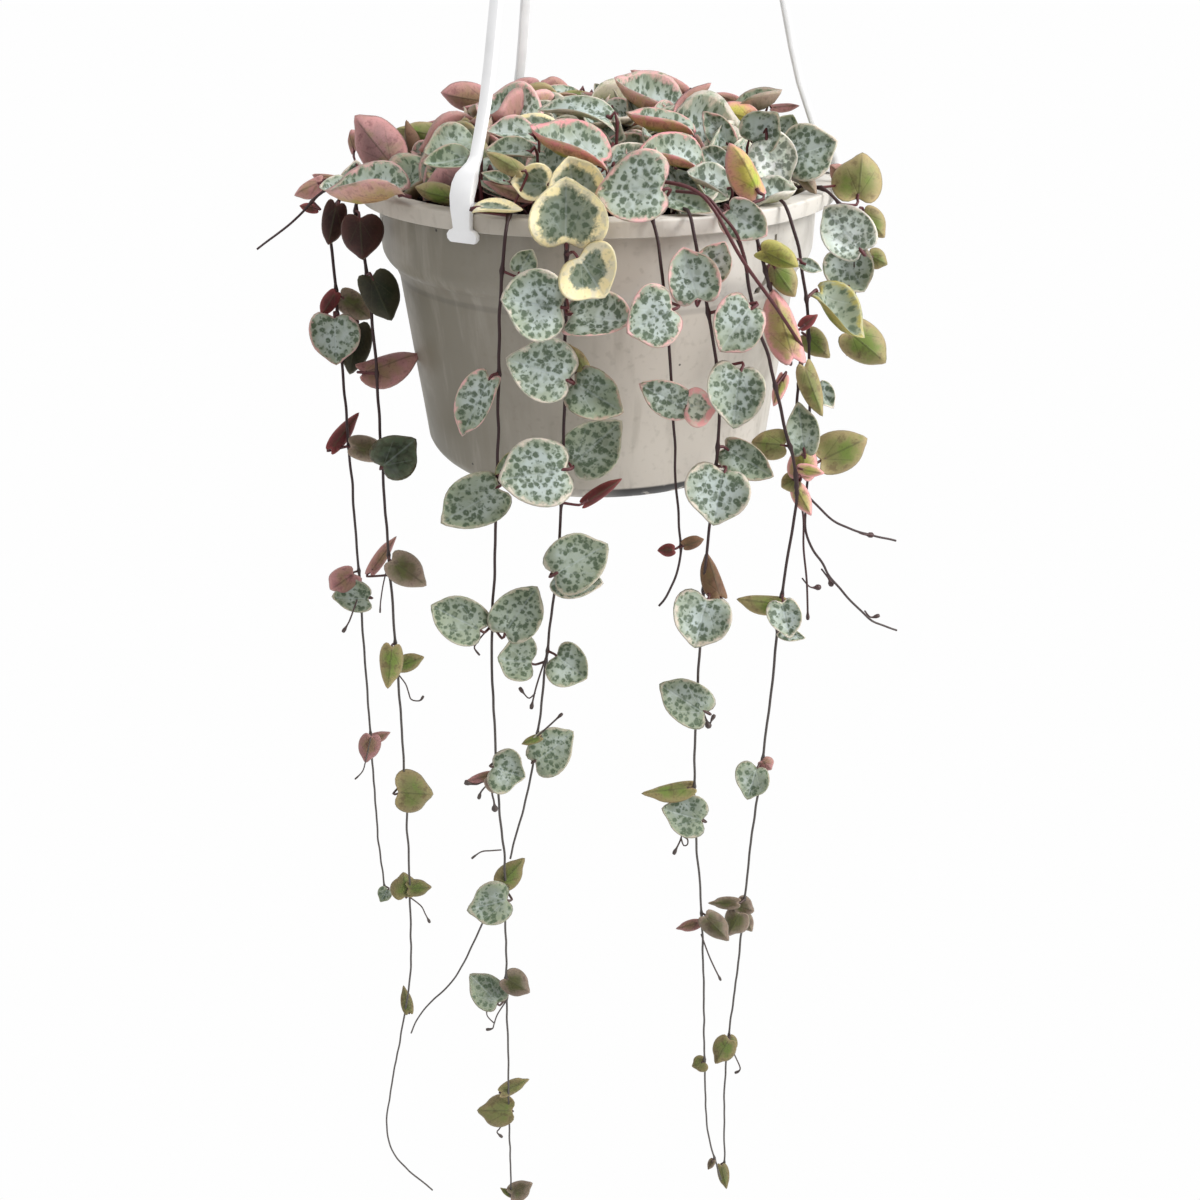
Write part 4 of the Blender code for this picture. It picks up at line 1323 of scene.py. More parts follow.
# Stem, notch, turn in degrees, length, width and look; then piece, fold and cup if they aren't the usual.
LEAVES = tuple(Leaf(*row) for row in (
    ("left_inner", (-54.5, -53, -262), (84, -12, -5), 22.5, 17, Look.PINK, "heart_wing", 36),
    ("left_outer", (-77, -8, -270), (-20, 80, 30), 10.5, 9.5, Look.MINT),
    ("far_left", (-85, -16, -265), (110, -15, 120), 9.5, 5.5, Look.MAUVE, "crown_left", 25),
    ("far_left", (-79, -12, -265), (90, 10, 140), 10, 5, Look.MAUVE, "crown_left", 25),
    ("far_left", (-85, -26, -271), (100, 10, 100), 5.5, 3, Look.RED, "", 25),
    ("left_outer", (-63.5, -8, -261), (84, 48, 100), 19, 15, Look.PLUM, "heart_mauve_side", 22),
    ("left_outer", (-77, 0, -258), (35, 65, 110), 7, 7, Look.MAUVE, "crown_left", 14),
    ("left_inner", (-50, 10, -255), (84, 8, 110), 16, 10, Look.OLIVE, "crown_left", 24),
    ("left_inner", (-42, 24, -253), (95, 5, 115), 16, 5.5, Look.MAUVE, "crown_left", 22),
    ("left_inner", (-34, -48, -250), (110, -10, -45), 15.5, 11.5, Look.SHADE, "crown_left"),
    ("left_inner", (-35, -58, -252), (100, -5, -50), 12.5, 7, Look.SHADE, "crown_left"),
    ("left_inner", (-36, -44, -261), (77, -9, 75), 17, 12, Look.PLUM, "crown_left", 24),
    ("left_inner", (-41, -50, -264), (100, 20, 80), 11, 6, Look.OLIVE, "crown_left", 18),
    ("left_outer", (-80, -20, -271), (125, -65, 115), 12.5, 7.5, Look.RED_SHADE, "", 12),
    ("left_inner", (-71, -34, -272), (-165, -80, -175), 12.5, 12.5, Look.RED_SHADE, "heart_shade_left"),
    ("centre_left", (-37, 38, -247), (95, 5, 85), 17, 10, Look.MAUVE, "heart_mauve_back", 16),
    ("centre_left", (-20, 42, -246), (70, -3, 95), 16, 13, Look.MAUVE, "crown_middle", 20),
    ("centre", (-11, 42, -245), (90, 20, 95), 9.5, 7, Look.MAUVE, "crown_middle", 20),
    ("centre", (-6, 34, -244), (105, -5, -20), 21.5, 6, Look.PINK, "crown_middle", 10),
    ("centre", (-3, 32, -245), (90, 5, 115), 9.5, 4, Look.OLIVE, "crown_middle", 10),
    ("centre_right", (5, 26, -249), (85, 30, 95), 11.5, 5, Look.MAUVE, "crown_middle", 10),
    ("centre_right", (5, 26, -248), (80, 50, -80), 9.5, 7, Look.MINT, "crown_middle"),
    ("centre_left", (-28, 26, -249), (95, 5, 105), 17, 5.5, Look.MAUVE, "crown_middle", 20),
    ("centre_left", (-25, 18, -252), (90, 20, 95), 11.5, 8, Look.MAUVE, "crown_middle", 15),
    ("centre", (-19, 20, -249), (90, 0, -45), 11, 5, Look.SHADE, "crown_middle"),
    ("centre", (4, -36, -243.8), (77, 6, -22), 22, 9.5, Look.MINT, "heart_silver_long", 16, 3),
    ("centre", (-12, -43, -245), (90, 0, -35), 14.5, 5.5, Look.CREAM, "crown_middle", 14),
    ("centre_left", (-18, -48, -247), (90, 0, -40), 13, 8, Look.PINK, "crown_middle", 14),
    ("centre_left", (-18, -58, -250), (95, 0, -40), 12.5, 6.5, Look.SHADE, "crown_middle"),
    ("centre_left", (-20, -71, -253), (85, 25, 110), 10.5, 4.5, Look.OLIVE, "crown_middle", 25),
    ("centre", (1.5, -60, -253.5), (91, 17, -20), 22, 15, Look.BLUSH, "heart_lilac", 34),
    ("centre_left", (-32, -72, -262), (-95, -5, 20), 12.5, 6, Look.CREAM, "crown_middle", 10),
    ("centre_left", (-24, -64, -257), (85, 15, -50), 7.5, 3.5, Look.SHADE, "crown_middle"),
    ("centre_left", (-18, -66, -261), (85, 20, 110), 14, 3.5, Look.MAUVE, "crown_middle", 18),
    ("centre", (-13, -68, -257), (90, 5, -80), 10, 9.5, Look.CREAM, "crown_middle"),
    ("centre", (-5, -72, -263), (55, 75, -50), 14, 15.5, Look.CREAM, "crown_middle"),
    ("centre", (-8, -84, -269), (0, 80, 0), 16.5, 20, Look.CREAM, "heart_cream_top", 6),
    ("centre", (-5, -87, -272), (-105, -50, 70), 12.5, 16.5, Look.CREAM, "heart_cream_right"),
    ("centre", (-9.5, -88.5, -284.5), (90, 5, -75), 16, 18, Look.MINT, "heart_cream_left"),
    ("centre", (-7, -84, -287.5), (-95, -10, 50), 17, 14, Look.PINK, "heart_pink_under"),
    ("centre_left", (-21, -78, -278), (-65, 55, 65), 7, 7.5, Look.GREEN),
    ("centre", (-8, -87, -305), (85, 20, -70), 17.5, 17, Look.MINT, "heart_mint_mid"),
    ("centre", (-6.5, -82.5, -307.5), (-100, -25, 70), 16, 14, Look.SHADE, "heart_grey_tip"),
    ("centre", (-3, -82, -304), (65, 50, 120), 9, 4.5, Look.OLIVE, "", 30),
    ("centre_left", (-30, -79, -307), (110, -60, -50), 18.5, 10.5, Look.PINK, "heart_tip_down", 18),
    ("centre", (-9, -87, -331), (95, -10, -70), 19, 20, Look.MINT, "heart_mint_low"),
    ("centre", (-7, -75, -335), (-65, 40, 60), 19, 16, Look.GREEN, "heart_tip_up"),
    ("centre_left", (-29, -78.5, -340), (110, -30, -65), 20, 15.5, Look.GREEN, "heart_base_left"),
    ("centre_left", (-29, -76, -337), (-55, 50, 55), 7.5, 3.5, Look.OLIVE),
    ("centre", (-4, -76, -346), (-75, 25, -115), 13.5, 4, Look.RED, "", 30),
    ("centre_right", (26, 6, -249.5), (86, 17, -24), 23.5, 15, Look.PINK, "heart_crown_top", 30),
    ("centre_right", (29, 16, -243), (90, 20, 85), 19.5, 6.5, Look.MAUVE, "crown_right"),
    ("centre_right", (26.5, -35, -248.5), (84, 6, -8), 19, 9, Look.BLUSH, "crown_right", 34),
    ("right_inner", (25, -6, -247), (-60, 35, -100), 15.5, 6, Look.MAUVE, "crown_right", 25),
    ("right_inner", (46, 12, -245), (80, 15, 95), 9, 3.5, Look.MAUVE, "crown_right"),
    ("right_inner", (48, -6, -248), (80, 15, 95), 13, 8, Look.BLUSH, "crown_right", 20),
    ("right", (43.5, 2, -247), (-92, 10, 8), 15, 9, Look.SHADE, "crown_right", 30),
    ("right", (55, 4, -246), (-90, 10, -125), 9, 3, Look.MAUVE, "crown_right"),
    ("right", (44, -40, -250), (-90, 50, 80), 10.5, 12, Look.MINT, "crown_right"),
    ("right", (55, -16, -253), (-85, 60, 75), 8.5, 9, Look.GREEN, "crown_right"),
    ("right", (56, -34, -255), (-95, 20, 80), 14.5, 15.5, Look.MINT, "heart_crown_right"),
    ("right", (48, -42, -249), (-110, -60, 75), 14, 13, Look.WHITE, "heart_pale_round"),
    ("right", (45, -52, -264), (-85, 5, 20), 11, 10.5, Look.PALE, "crown_right", 25),
    ("right", (59, -36, -259), (-110, -45, -105), 8, 4, Look.SHADE, "crown_right", 25),
    ("right_back", (77, -16, -264), (75, 35, 100), 7, 5.5, Look.MAUVE, "crown_right"),
    ("right_back", (77.5, -31.5, -267), (-30, 80, -160), 13, 15, Look.OLIVE, "heart_olive_crown", 10),
    ("right_back", (75.5, -53.5, -277.5), (65, 45, -75), 16.5, 14, Look.PALE, "heart_heart_right"),
    ("right_back", (73.5, -36, -281), (-120, -55, 70), 14.5, 14.5, Look.MINT, "heart_heart_low"),
    ("right_back", (81, -26, -272), (-110, -45, -105), 10, 7.5, Look.OLIVE, "strand_far_right"),
    ("right_back", (84, -26, -285), (-105, -20, -105), 6.5, 6, Look.OLIVE, "strand_far_right"),
    ("right", (44, -63, -260), (90, 60, 110), 15, 8.5, Look.BLUSH, "heart_fold_upright", 36),
    ("right_inner", (37, -40, -257), (75, 30, -70), 9, 7, Look.MINT, "crown_right"),
    ("right_inner", (39, -24, -253), (75, 50, -80), 12, 8, Look.PINK, "crown_right"),
    ("right_inner", (36, -56, -260), (75, 10, -28), 12, 9, Look.PALE, "crown_right", 24),
    ("centre_right", (29, -45, -256), (87, 10, -24), 18, 12, Look.BLUSH, "crown_right", 26),
    ("centre_right", (19, -30, -257), (85, 5, -36), 20, 10, Look.PINK, "crown_middle", 24),
    ("centre_right", (17, -82, -256), (85, 0, -80), 17, 17.5, Look.PINK, "heart_two_lobed", 14),
    ("right_inner", (18, -64, -260), (-105, -20, 55), 14.5, 7.5, Look.SHADE, "crown_middle", 18),
    ("right", (35, -74, -262), (-105, -35, 80), 12.5, 10.5, Look.PINK, "heart_spotted_front"),
    ("right_inner", (26.5, -83, -284), (40, 70, -40), 14, 14, Look.PINK, "heart_notch_down"),
    ("right_inner", (29, -79, -279), (-70, 60, 60), 10.5, 10, Look.PINK),
    ("centre_right", (20, -89, -285), (95, -25, -75), 13.5, 16, Look.PINK, "heart_front_right"),
    ("right_inner", (42, -80, -287), (100, -50, -70), 14.5, 14.5, Look.PINK, "heart_orange_top"),
    ("right_inner", (40, -80, -304), (150, -70, -25), 16.5, 16, Look.MINT, "heart_white_low"),
    ("centre_right", (25, -82, -315), (75, 25, -70), 15, 10, Look.PINK),
    ("centre_right", (25, -82, -314), (-95, 0, 70), 8.5, 10.5, Look.ROSE),
    ("right_inner", (37, -79, -335), (145, -65, -25), 16, 19, Look.MINT, "heart_heart_down"),
    ("right_inner", (37.5, -73, -330), (-110, -25, 65), 16.5, 10.5, Look.SHADE),
    ("right", (56, -66, -332), (80, 5, 110), 10, 9.5, Look.OLIVE),
    ("right", (69, -58, -340), (-90, 30, -115), 15, 13.5, Look.OLIVE, "heart_olive_right"),
    ("right_side", (62, -66, -334), (20, 65, -25), 15, 10, Look.GREEN),
    ("right_side", (62, -64, -343), (-20, 65, -170), 11, 9, Look.ROSE, "", 20),
    ("right", (61, -62, -344), (95, -35, 120), 5.5, 6.5, Look.OLIVE),
    ("right", (61, -62, -347), (-130, -50, -130), 10, 5.5, Look.ROSE, "", 20),
    ("right", (61, -64, -340), (-105, -10, -110), 8, 4, Look.ROSE),
    ("far_right", (64, -52, -290.3), (-90, -50, 40), 19, 12, Look.YELLOW, "heart_yellow_edge", 34),
    ("right_back", (76, -44, -304), (-110, -30, -110), 15, 12, Look.OLIVE, "heart_olive_tip", 10),
    ("far_right", (62, -50, -303), (-110, -35, -110), 10, 7.5, Look.OLIVE),
    ("right_side", (45, -68, -274), (-95, -25, -80), 11.5, 7, Look.YELLOW, "", 15),
    ("right_side", (49, -64, -279), (-115, -50, -110), 11, 7.5, Look.OLIVE),
    ("right_side", (58, -58, -280), (-110, -15, 55), 6.5, 4, Look.MINT),
    ("right_side", (55, -70, -304), (40, 70, 145), 20, 10, Look.ROSE, "heart_pink_long", 20),
    ("right_side", (60, -62, -309), (-115, -60, -125), 16, 6.5, Look.OLIVE, "", 15),
    ("right_side", (66, -58, -316), (-105, -55, 60), 8, 6, Look.MINT),
    ("right", (54, -68, -310), (120, -65, 135), 9, 4, Look.ROSE, "", 25),
    ("right_back", (73, -46, -291), (-135, -65, 55), 6.5, 4.5, Look.OLIVE, "strand_far_right"),
    ("right_side", (59, -60, -298), (-85, 40, -110), 6, 3.5, Look.RED),
    ("centre", (-13, -82, -367), (-75, 25, 60), 19, 17, Look.GREEN, "heart_twin_top"),
    ("centre", (-13, -77, -370), (-95, -10, 60), 15, 12, Look.MINT),
    ("centre_left", (-36.5, -77.5, -389), (80, 25, -55), 17.5, 14.5, Look.GREEN, "heart_pair_left"),
    ("centre_left", (-29, -78, -390), (-50, 45, 45), 18, 15.5, Look.GREEN, "heart_pair_right"),
    ("centre", (-21, -76, -402), (85, 5, -40), 11, 16, Look.GREEN),
    ("centre", (-13, -78, -398), (-110, -30, 55), 12, 14.5, Look.GREEN, "heart_twin_low"),
    ("centre_left", (-35, -77, -442), (-95, -20, 50), 11.5, 14.5, Look.GREEN),
    ("centre_left", (-36, -76, -447), (-135, -45, -150), 7, 6.5, Look.SHADE),
    ("centre_left", (-36, -74, -447), (105, -15, 130), 9.5, 3.5, Look.MAUVE),
    ("centre", (-21, -78, -439), (-65, 25, 50), 16.5, 14.5, Look.GREEN),
    ("centre", (-19, -75, -431), (105, -20, 125), 7, 3, Look.OLIVE),
    ("centre_left", (-32, -79, -499), (100, -5, -50), 15, 14.5, Look.GREEN, "heart_low_left"),
    ("centre_left", (-35, -74, -496), (-55, 30, -140), 12.5, 8.5, Look.OLIVE),
    ("centre_left", (-38, -76, -553), (55, 30, -30), 15, 12.5, Look.GREEN),
    ("centre_left", (-35, -73, -543), (-110, -20, -140), 11, 9.5, Look.SHADE),
    ("centre_left", (-39, -73, -606), (-70, 10, -140), 12.5, 5.5, Look.OLIVE),
    ("centre_left", (-35, -75, -615), (90, 5, 140), 14, 12, Look.OLIVE),
    ("centre_left", (-37, -75, -668), (-60, 10, -155), 10.5, 8, Look.SHADE),
    ("centre_left", (-37, -73, -671), (65, 20, 150), 6, 2.5, Look.OLIVE),
    ("left_inner", (-69, -34, -289.5), (-115, -65, -125), 14.5, 12, Look.DARK, "heart_dark_left"),
    ("left_outer", (-84, -19, -298), (125, -55, 115), 9, 5, Look.RED, "", 20),
    ("left_outer", (-83, -16, -300), (-90, -40, -110), 12, 8.5, Look.SHADE),
    ("left_outer", (-84, -23, -305), (175, -75, -20), 15, 16, Look.PINK, "heart_silver_left"),
    ("left_outer", (-79, -14, -310), (150, -70, 140), 16.5, 11, Look.DARK),
    ("left_inner", (-76, -27, -322), (-70, 10, -135), 20.5, 11, Look.MAUVE, "", 20),
    ("left_outer", (-91, -19, -351), (-60, 40, -115), 15, 5.5, Look.RED, "", 20),
    ("left_outer", (-84, -19, -351), (-80, -10, -110), 13.5, 9, Look.SHADE),
    ("left_inner", (-71, -34, -352), (-65, 35, 65), 14.5, 15, Look.DARK, "heart_olive_left"),
    ("left_outer", (-88, -19, -399), (135, -20, 120), 10, 10, Look.MAUVE),
    ("left_outer", (-83, -21, -408), (100, 0, -50), 13, 12, Look.GREEN),
    ("left_inner", (-80, -28, -394), (-50, 40, -125), 16, 4.5, Look.MAUVE, "", 25),
    ("left_inner", (-71, -33, -387), (-100, -35, -125), 14.5, 11.5, Look.SHADE),
    ("left_inner", (-74, -32, -422), (170, -60, 160), 15, 8.5, Look.OLIVE, "", 15),
    ("left_inner", (-73, -29, -432), (-75, 10, -120), 10, 6.5, Look.OLIVE),
    ("left_outer", (-88, -19, -470), (165, -50, 155), 10.5, 8.5, Look.MAUVE, "", 15),
    ("left_outer", (-89, -17, -474), (-65, 15, -125), 8.5, 4.5, Look.MAUVE),
    ("left_inner", (-76, -37, -484), (-80, -5, -125), 13.5, 16.5, Look.OLIVE, "heart_olive_low"),
    ("left_outer", (-88, -19, -548), (140, -35, -35), 6, 6, Look.GREEN),
    ("left_inner", (-78, -32, -540), (15, 50, 180), 10, 10.5, Look.OLIVE),
    ("left_inner", (-77, -31, -537), (-80, 0, -130), 9.5, 7, Look.OLIVE),
    ("left_inner", (-82, -31, -607), (20, 45, 175), 11.5, 5, Look.OLIVE),
    ("centre_right", (23, -79, -360), (90, -10, 115), 5, 4, Look.RED, "", 12),
    ("centre_right", (26, -79, -359), (-85, 20, -115), 6.5, 4, Look.BROWN, "", 12),
    ("right_inner", (38, -77, -377), (45, 60, 160), 14, 7, Look.BROWN, "", 20),
    ("right_inner", (34, -79, -377), (145, -60, -25), 15.5, 18.5, Look.MINT, "heart_mint_heart"),
    ("right", (59, -66, -386), (80, 0, 140), 14.5, 7, Look.OLIVE, "", 20),
    ("right", (59, -68, -384), (-165, -60, 20), 12, 10.5, Look.MINT),
    ("right", (59, -66, -396), (-105, -10, 60), 8.5, 4.5, Look.MINT),
    ("right_inner", (35, -80, -418), (70, 20, -55), 17.5, 14.5, Look.GREEN, "heart_tip_left"),
    ("right_inner", (32, -74, -453), (95, -5, 150), 17, 7, Look.OLIVE, "", 15),
    ("right_inner", (36, -78, -464), (75, 10, -50), 14.5, 14, Look.GREEN),
    ("right", (55, -68, -449), (145, -50, -20), 11.5, 12, Look.GREEN),
    ("right", (57, -65, -448), (-130, -35, -135), 4.5, 5.5, Look.MAUVE),
    ("right_inner", (37, -74, -514), (100, -15, 135), 9, 4, Look.MAUVE),
    ("right_inner", (39, -76, -509), (-130, -30, -145), 12, 8.5, Look.SHADE),
    ("right", (52, -66, -512), (85, -5, 135), 11.5, 4.5, Look.SHADE),
    ("right", (53, -67, -516), (135, -40, 155), 9.5, 9.5, Look.SHADE),
    ("right", (54, -64, -520), (-140, -35, -150), 7, 6, Look.SHADE),
    ("right", (52, -65, -514), (-110, -10, -135), 6.5, 8, Look.SHADE),
    ("right_inner", (42, -74, -587), (105, -20, 145), 5.5, 6.5, Look.OLIVE),
    ("right", (52, -67, -583), (140, -35, 160), 10.5, 9, Look.OLIVE),
    ("right", (52, -64, -585), (-150, -35, -155), 7, 5.5, Look.OLIVE),
    ("right_inner", (48, -74, -646), (145, -35, 165), 4.5, 3, Look.SHADE),
    ("right", (53, -65, -662), (-165, -35, -165), 9.5, 5, Look.OLIVE),
    ("left_outer", (-73.7, -30, -264), (123, 0, -40), 10, 7, Look.MINT),
    # Painted shade: this dark leaf stands for the shaded side of the olive leaf beside it.
    ("left_outer", (-59.5, 5, -263), (35, 68, 110), 14, 7, Look.BROWN, "crown_left", 14),
))


def heart_point(angle: float, length: float, width: float, spade: float) -> tuple[float, float]:
    """A point of the heart outline.

    Args:
        angle: from the tip, in radians.
        length: from the notch, which is at the origin, to the tip.
        width: across the lobes.
        spade: how far the flanks draw in before the tip, from nought to one.

    Returns:
        The point across and along the blade.
    """
    tip = 0.13 * math.exp(-(angle / 0.24) ** 2)
    notch = 0.36 * math.exp(-((math.pi - abs(angle)) / 0.42) ** 2)
    flank = 0.14 * spade * math.exp(-((abs(angle) - 0.62) / 0.34) ** 2)
    corner = 0.06 * spade * math.exp(-((abs(angle) - 1.75) / 0.40) ** 2)
    reach = length / HEART_SPAN
    radius = reach * (1.0 + tip - notch - flank + corner)
    across = math.sin(angle) * radius / reach * (1.0 - 0.07 * math.cos(angle)) * width / 2.0
    return across, radius * math.cos(angle) + HEART_MIDDLE * reach


@dataclass
class Thicket:
    """The crowded leaves of the crown that stand between the named ones."""

    count: int = 150
    radius: float = 57.0
    front: float = 52.0
    rise: float = 18.0
    seed: int = 20
    dusky: tuple = (Look.MAUVE, Look.OLIVE, Look.SHADE, Look.PINK)
    fresh: tuple = (Look.MINT, Look.PINK, Look.GREEN, Look.MINT)

    def leaf(self, rng: random.Random, index: int) -> Leaf | None:
        """The next leaf, or nothing where it would stand before the named leaves of the front.

        Args:
            rng: the source of random numbers.
            index: the leaf's number, outwards from the middle of the pot.

        Returns:
            The leaf, or nothing.
        """
        radius = self.radius * math.sqrt((index + 0.5) / self.count) + rng.uniform(-2, 1)
        around = index * math.pi * (3.0 - math.sqrt(5.0)) + rng.uniform(-0.2, 0.2)
        place = Vector((radius * math.cos(around), radius * math.sin(around), 0.0))
        if place.y < -30.0 and radius > self.front:
            return None
        reach = min(1.0, radius / 66.0)
        place.z = RIM_Z - 2.0 + self.rise * (1.0 - reach ** 2.5) + rng.uniform(-3.0, 3.0)
        if place.x > 8.0:
            place.z -= 3.0
        lean = math.radians(15.0 + 45.0 * reach + rng.uniform(-15, 15))
        outward = math.atan2(place.x, -place.y) + math.pi + rng.uniform(-0.5, 0.5)
        turn = (Matrix.Rotation(outward, 3, "Z") @ Matrix.Rotation(-lean, 3, "X")
                @ Matrix.Rotation(rng.uniform(-2.0, 2.0), 3, "Z")).to_euler("YXZ")
        looks = self.dusky if place.x < -22 or place.y > 34 else self.fresh
        length = rng.uniform(14, 21)
        return Leaf(stem="", at=tuple(place), turn=tuple(math.degrees(a) for a in (turn.z, turn.x, turn.y)),
                    length=length, width=length * rng.uniform(0.75, 1.05), fold=rng.uniform(6, 22),
                    look=rng.choice(looks), own_piece="crown_thicket", cup=rng.uniform(3.0, 5.5))

    def leaves(self) -> list[Leaf]:
        """All the leaves of the thicket."""
        rng = random.Random(self.seed)
        return [leaf for i in range(self.count) if (leaf := self.leaf(rng, i))]


class Habit:
    """One leaf's own shape and colours, with irregularities drawn from its number."""

    def __init__(self, leaf: Leaf, seed: int) -> None:
        """Draw the leaf's irregularities.

        Args:
            leaf: the leaf.
            seed: the leaf's own number.
        """
        rng = random.Random(seed * 31 + 5)
        self.leaf = leaf
        self.seed = seed
        self.fold = math.tan(math.radians(max(leaf.fold, rng.uniform(7.0, 13.0))))
        self.droop = rng.uniform(0.6, 1.5) * (0.012 if leaf.fold < 30 else -0.010)
        self.skew = rng.uniform(-0.10, 0.10)
        self.lobe = rng.uniform(-0.09, 0.09)
        self.wobble = [(rng.uniform(0, math.tau), rng.uniform(0.004, 0.028)) for _ in range(3)]
        self.waves = [(rng.uniform(0, math.tau), rng.uniform(0.1, 0.35)) for _ in range(3)]
        self.cup = rng.uniform(0.5, 1.0) * leaf.cup * (1.4 if leaf.piece.startswith("crown") else 1.0)
        # Leaves further down the strands are darker and more spade-shaped.
        low = min(1.0, max(0.0, (-390.0 - leaf.at[2]) / 150.0))
        self.vary = rng.uniform(0.94, 1.18) * (1.0 - 0.36 * low)
        self.band = leaf.look.value.band * rng.uniform(0.7, 1.3)
        self.spade = rng.uniform(0.0, 0.5) + 0.45 * min(1.0, low * 2.0)
        self.middle = HEART_MIDDLE * leaf.length / HEART_SPAN

    def ripple(self, waves: list, angle: float) -> float:
        """The sum of waves round the outline at an angle."""
        return sum(a * math.sin((k + 2) * angle + p) for k, (p, a) in enumerate(waves))

    def outline(self, angle: float, rho: float) -> tuple[float, float]:
        """A place across and along the blade, at a share of the way out to the outline.

        Args:
            angle: from the tip, in radians.
            rho: the share of the way out.

        Returns:
            The place across and along the blade.
        """
        px, py = heart_point(angle, self.leaf.length, self.leaf.width, self.spade)
        uneven = 1.0 + self.ripple(self.wobble, angle)
        px *= rho * uneven * (1.0 + math.copysign(self.lobe, px))
        return px, self.middle + (py - self.middle) * rho * uneven

    def lift(self, px: float, py: float, angle: float, rho: float) -> float:
        """The height of the blade's middle surface: folded, drooping, rippled and cupped.

        Args:
            px: the place across the blade.
            py: the place along the blade.
            angle: from the tip, in radians.
            rho: the share of the way out to the outline.

        Returns:
            The height above the blade's plane.
        """
        width = self.leaf.width
        valley = 0.1 * width
        lift = self.fold * (math.hypot(px, valley) - valley) - self.droop * (py - self.middle) ** 2
        cupped = self.cup * rho ** 3.4 * (1.0 - math.exp(-py / 3.0))
        return lift + (self.ripple(self.waves, angle) * rho ** 3 + cupped) * width / 16

    def colours(self, back: float) -> tuple[tuple, tuple]:
        """The skin and the margin, by the share of the underside.

        Args:
            back: nought on the upper side, one on the underside.

        Returns:
            The skin with the strength of its spots, and the margin with its width.
        """
        tint = self.leaf.look.value
        base = [f * (1 - back) + b * back for f, b in zip(tint.face, tint.back)]
        skin = (*(c * self.vary for c in base), tint.spots * (1.0 - back))
        return skin, (*(c * self.vary for c in tint.margin), self.band * (1.0 - 0.45 * back))


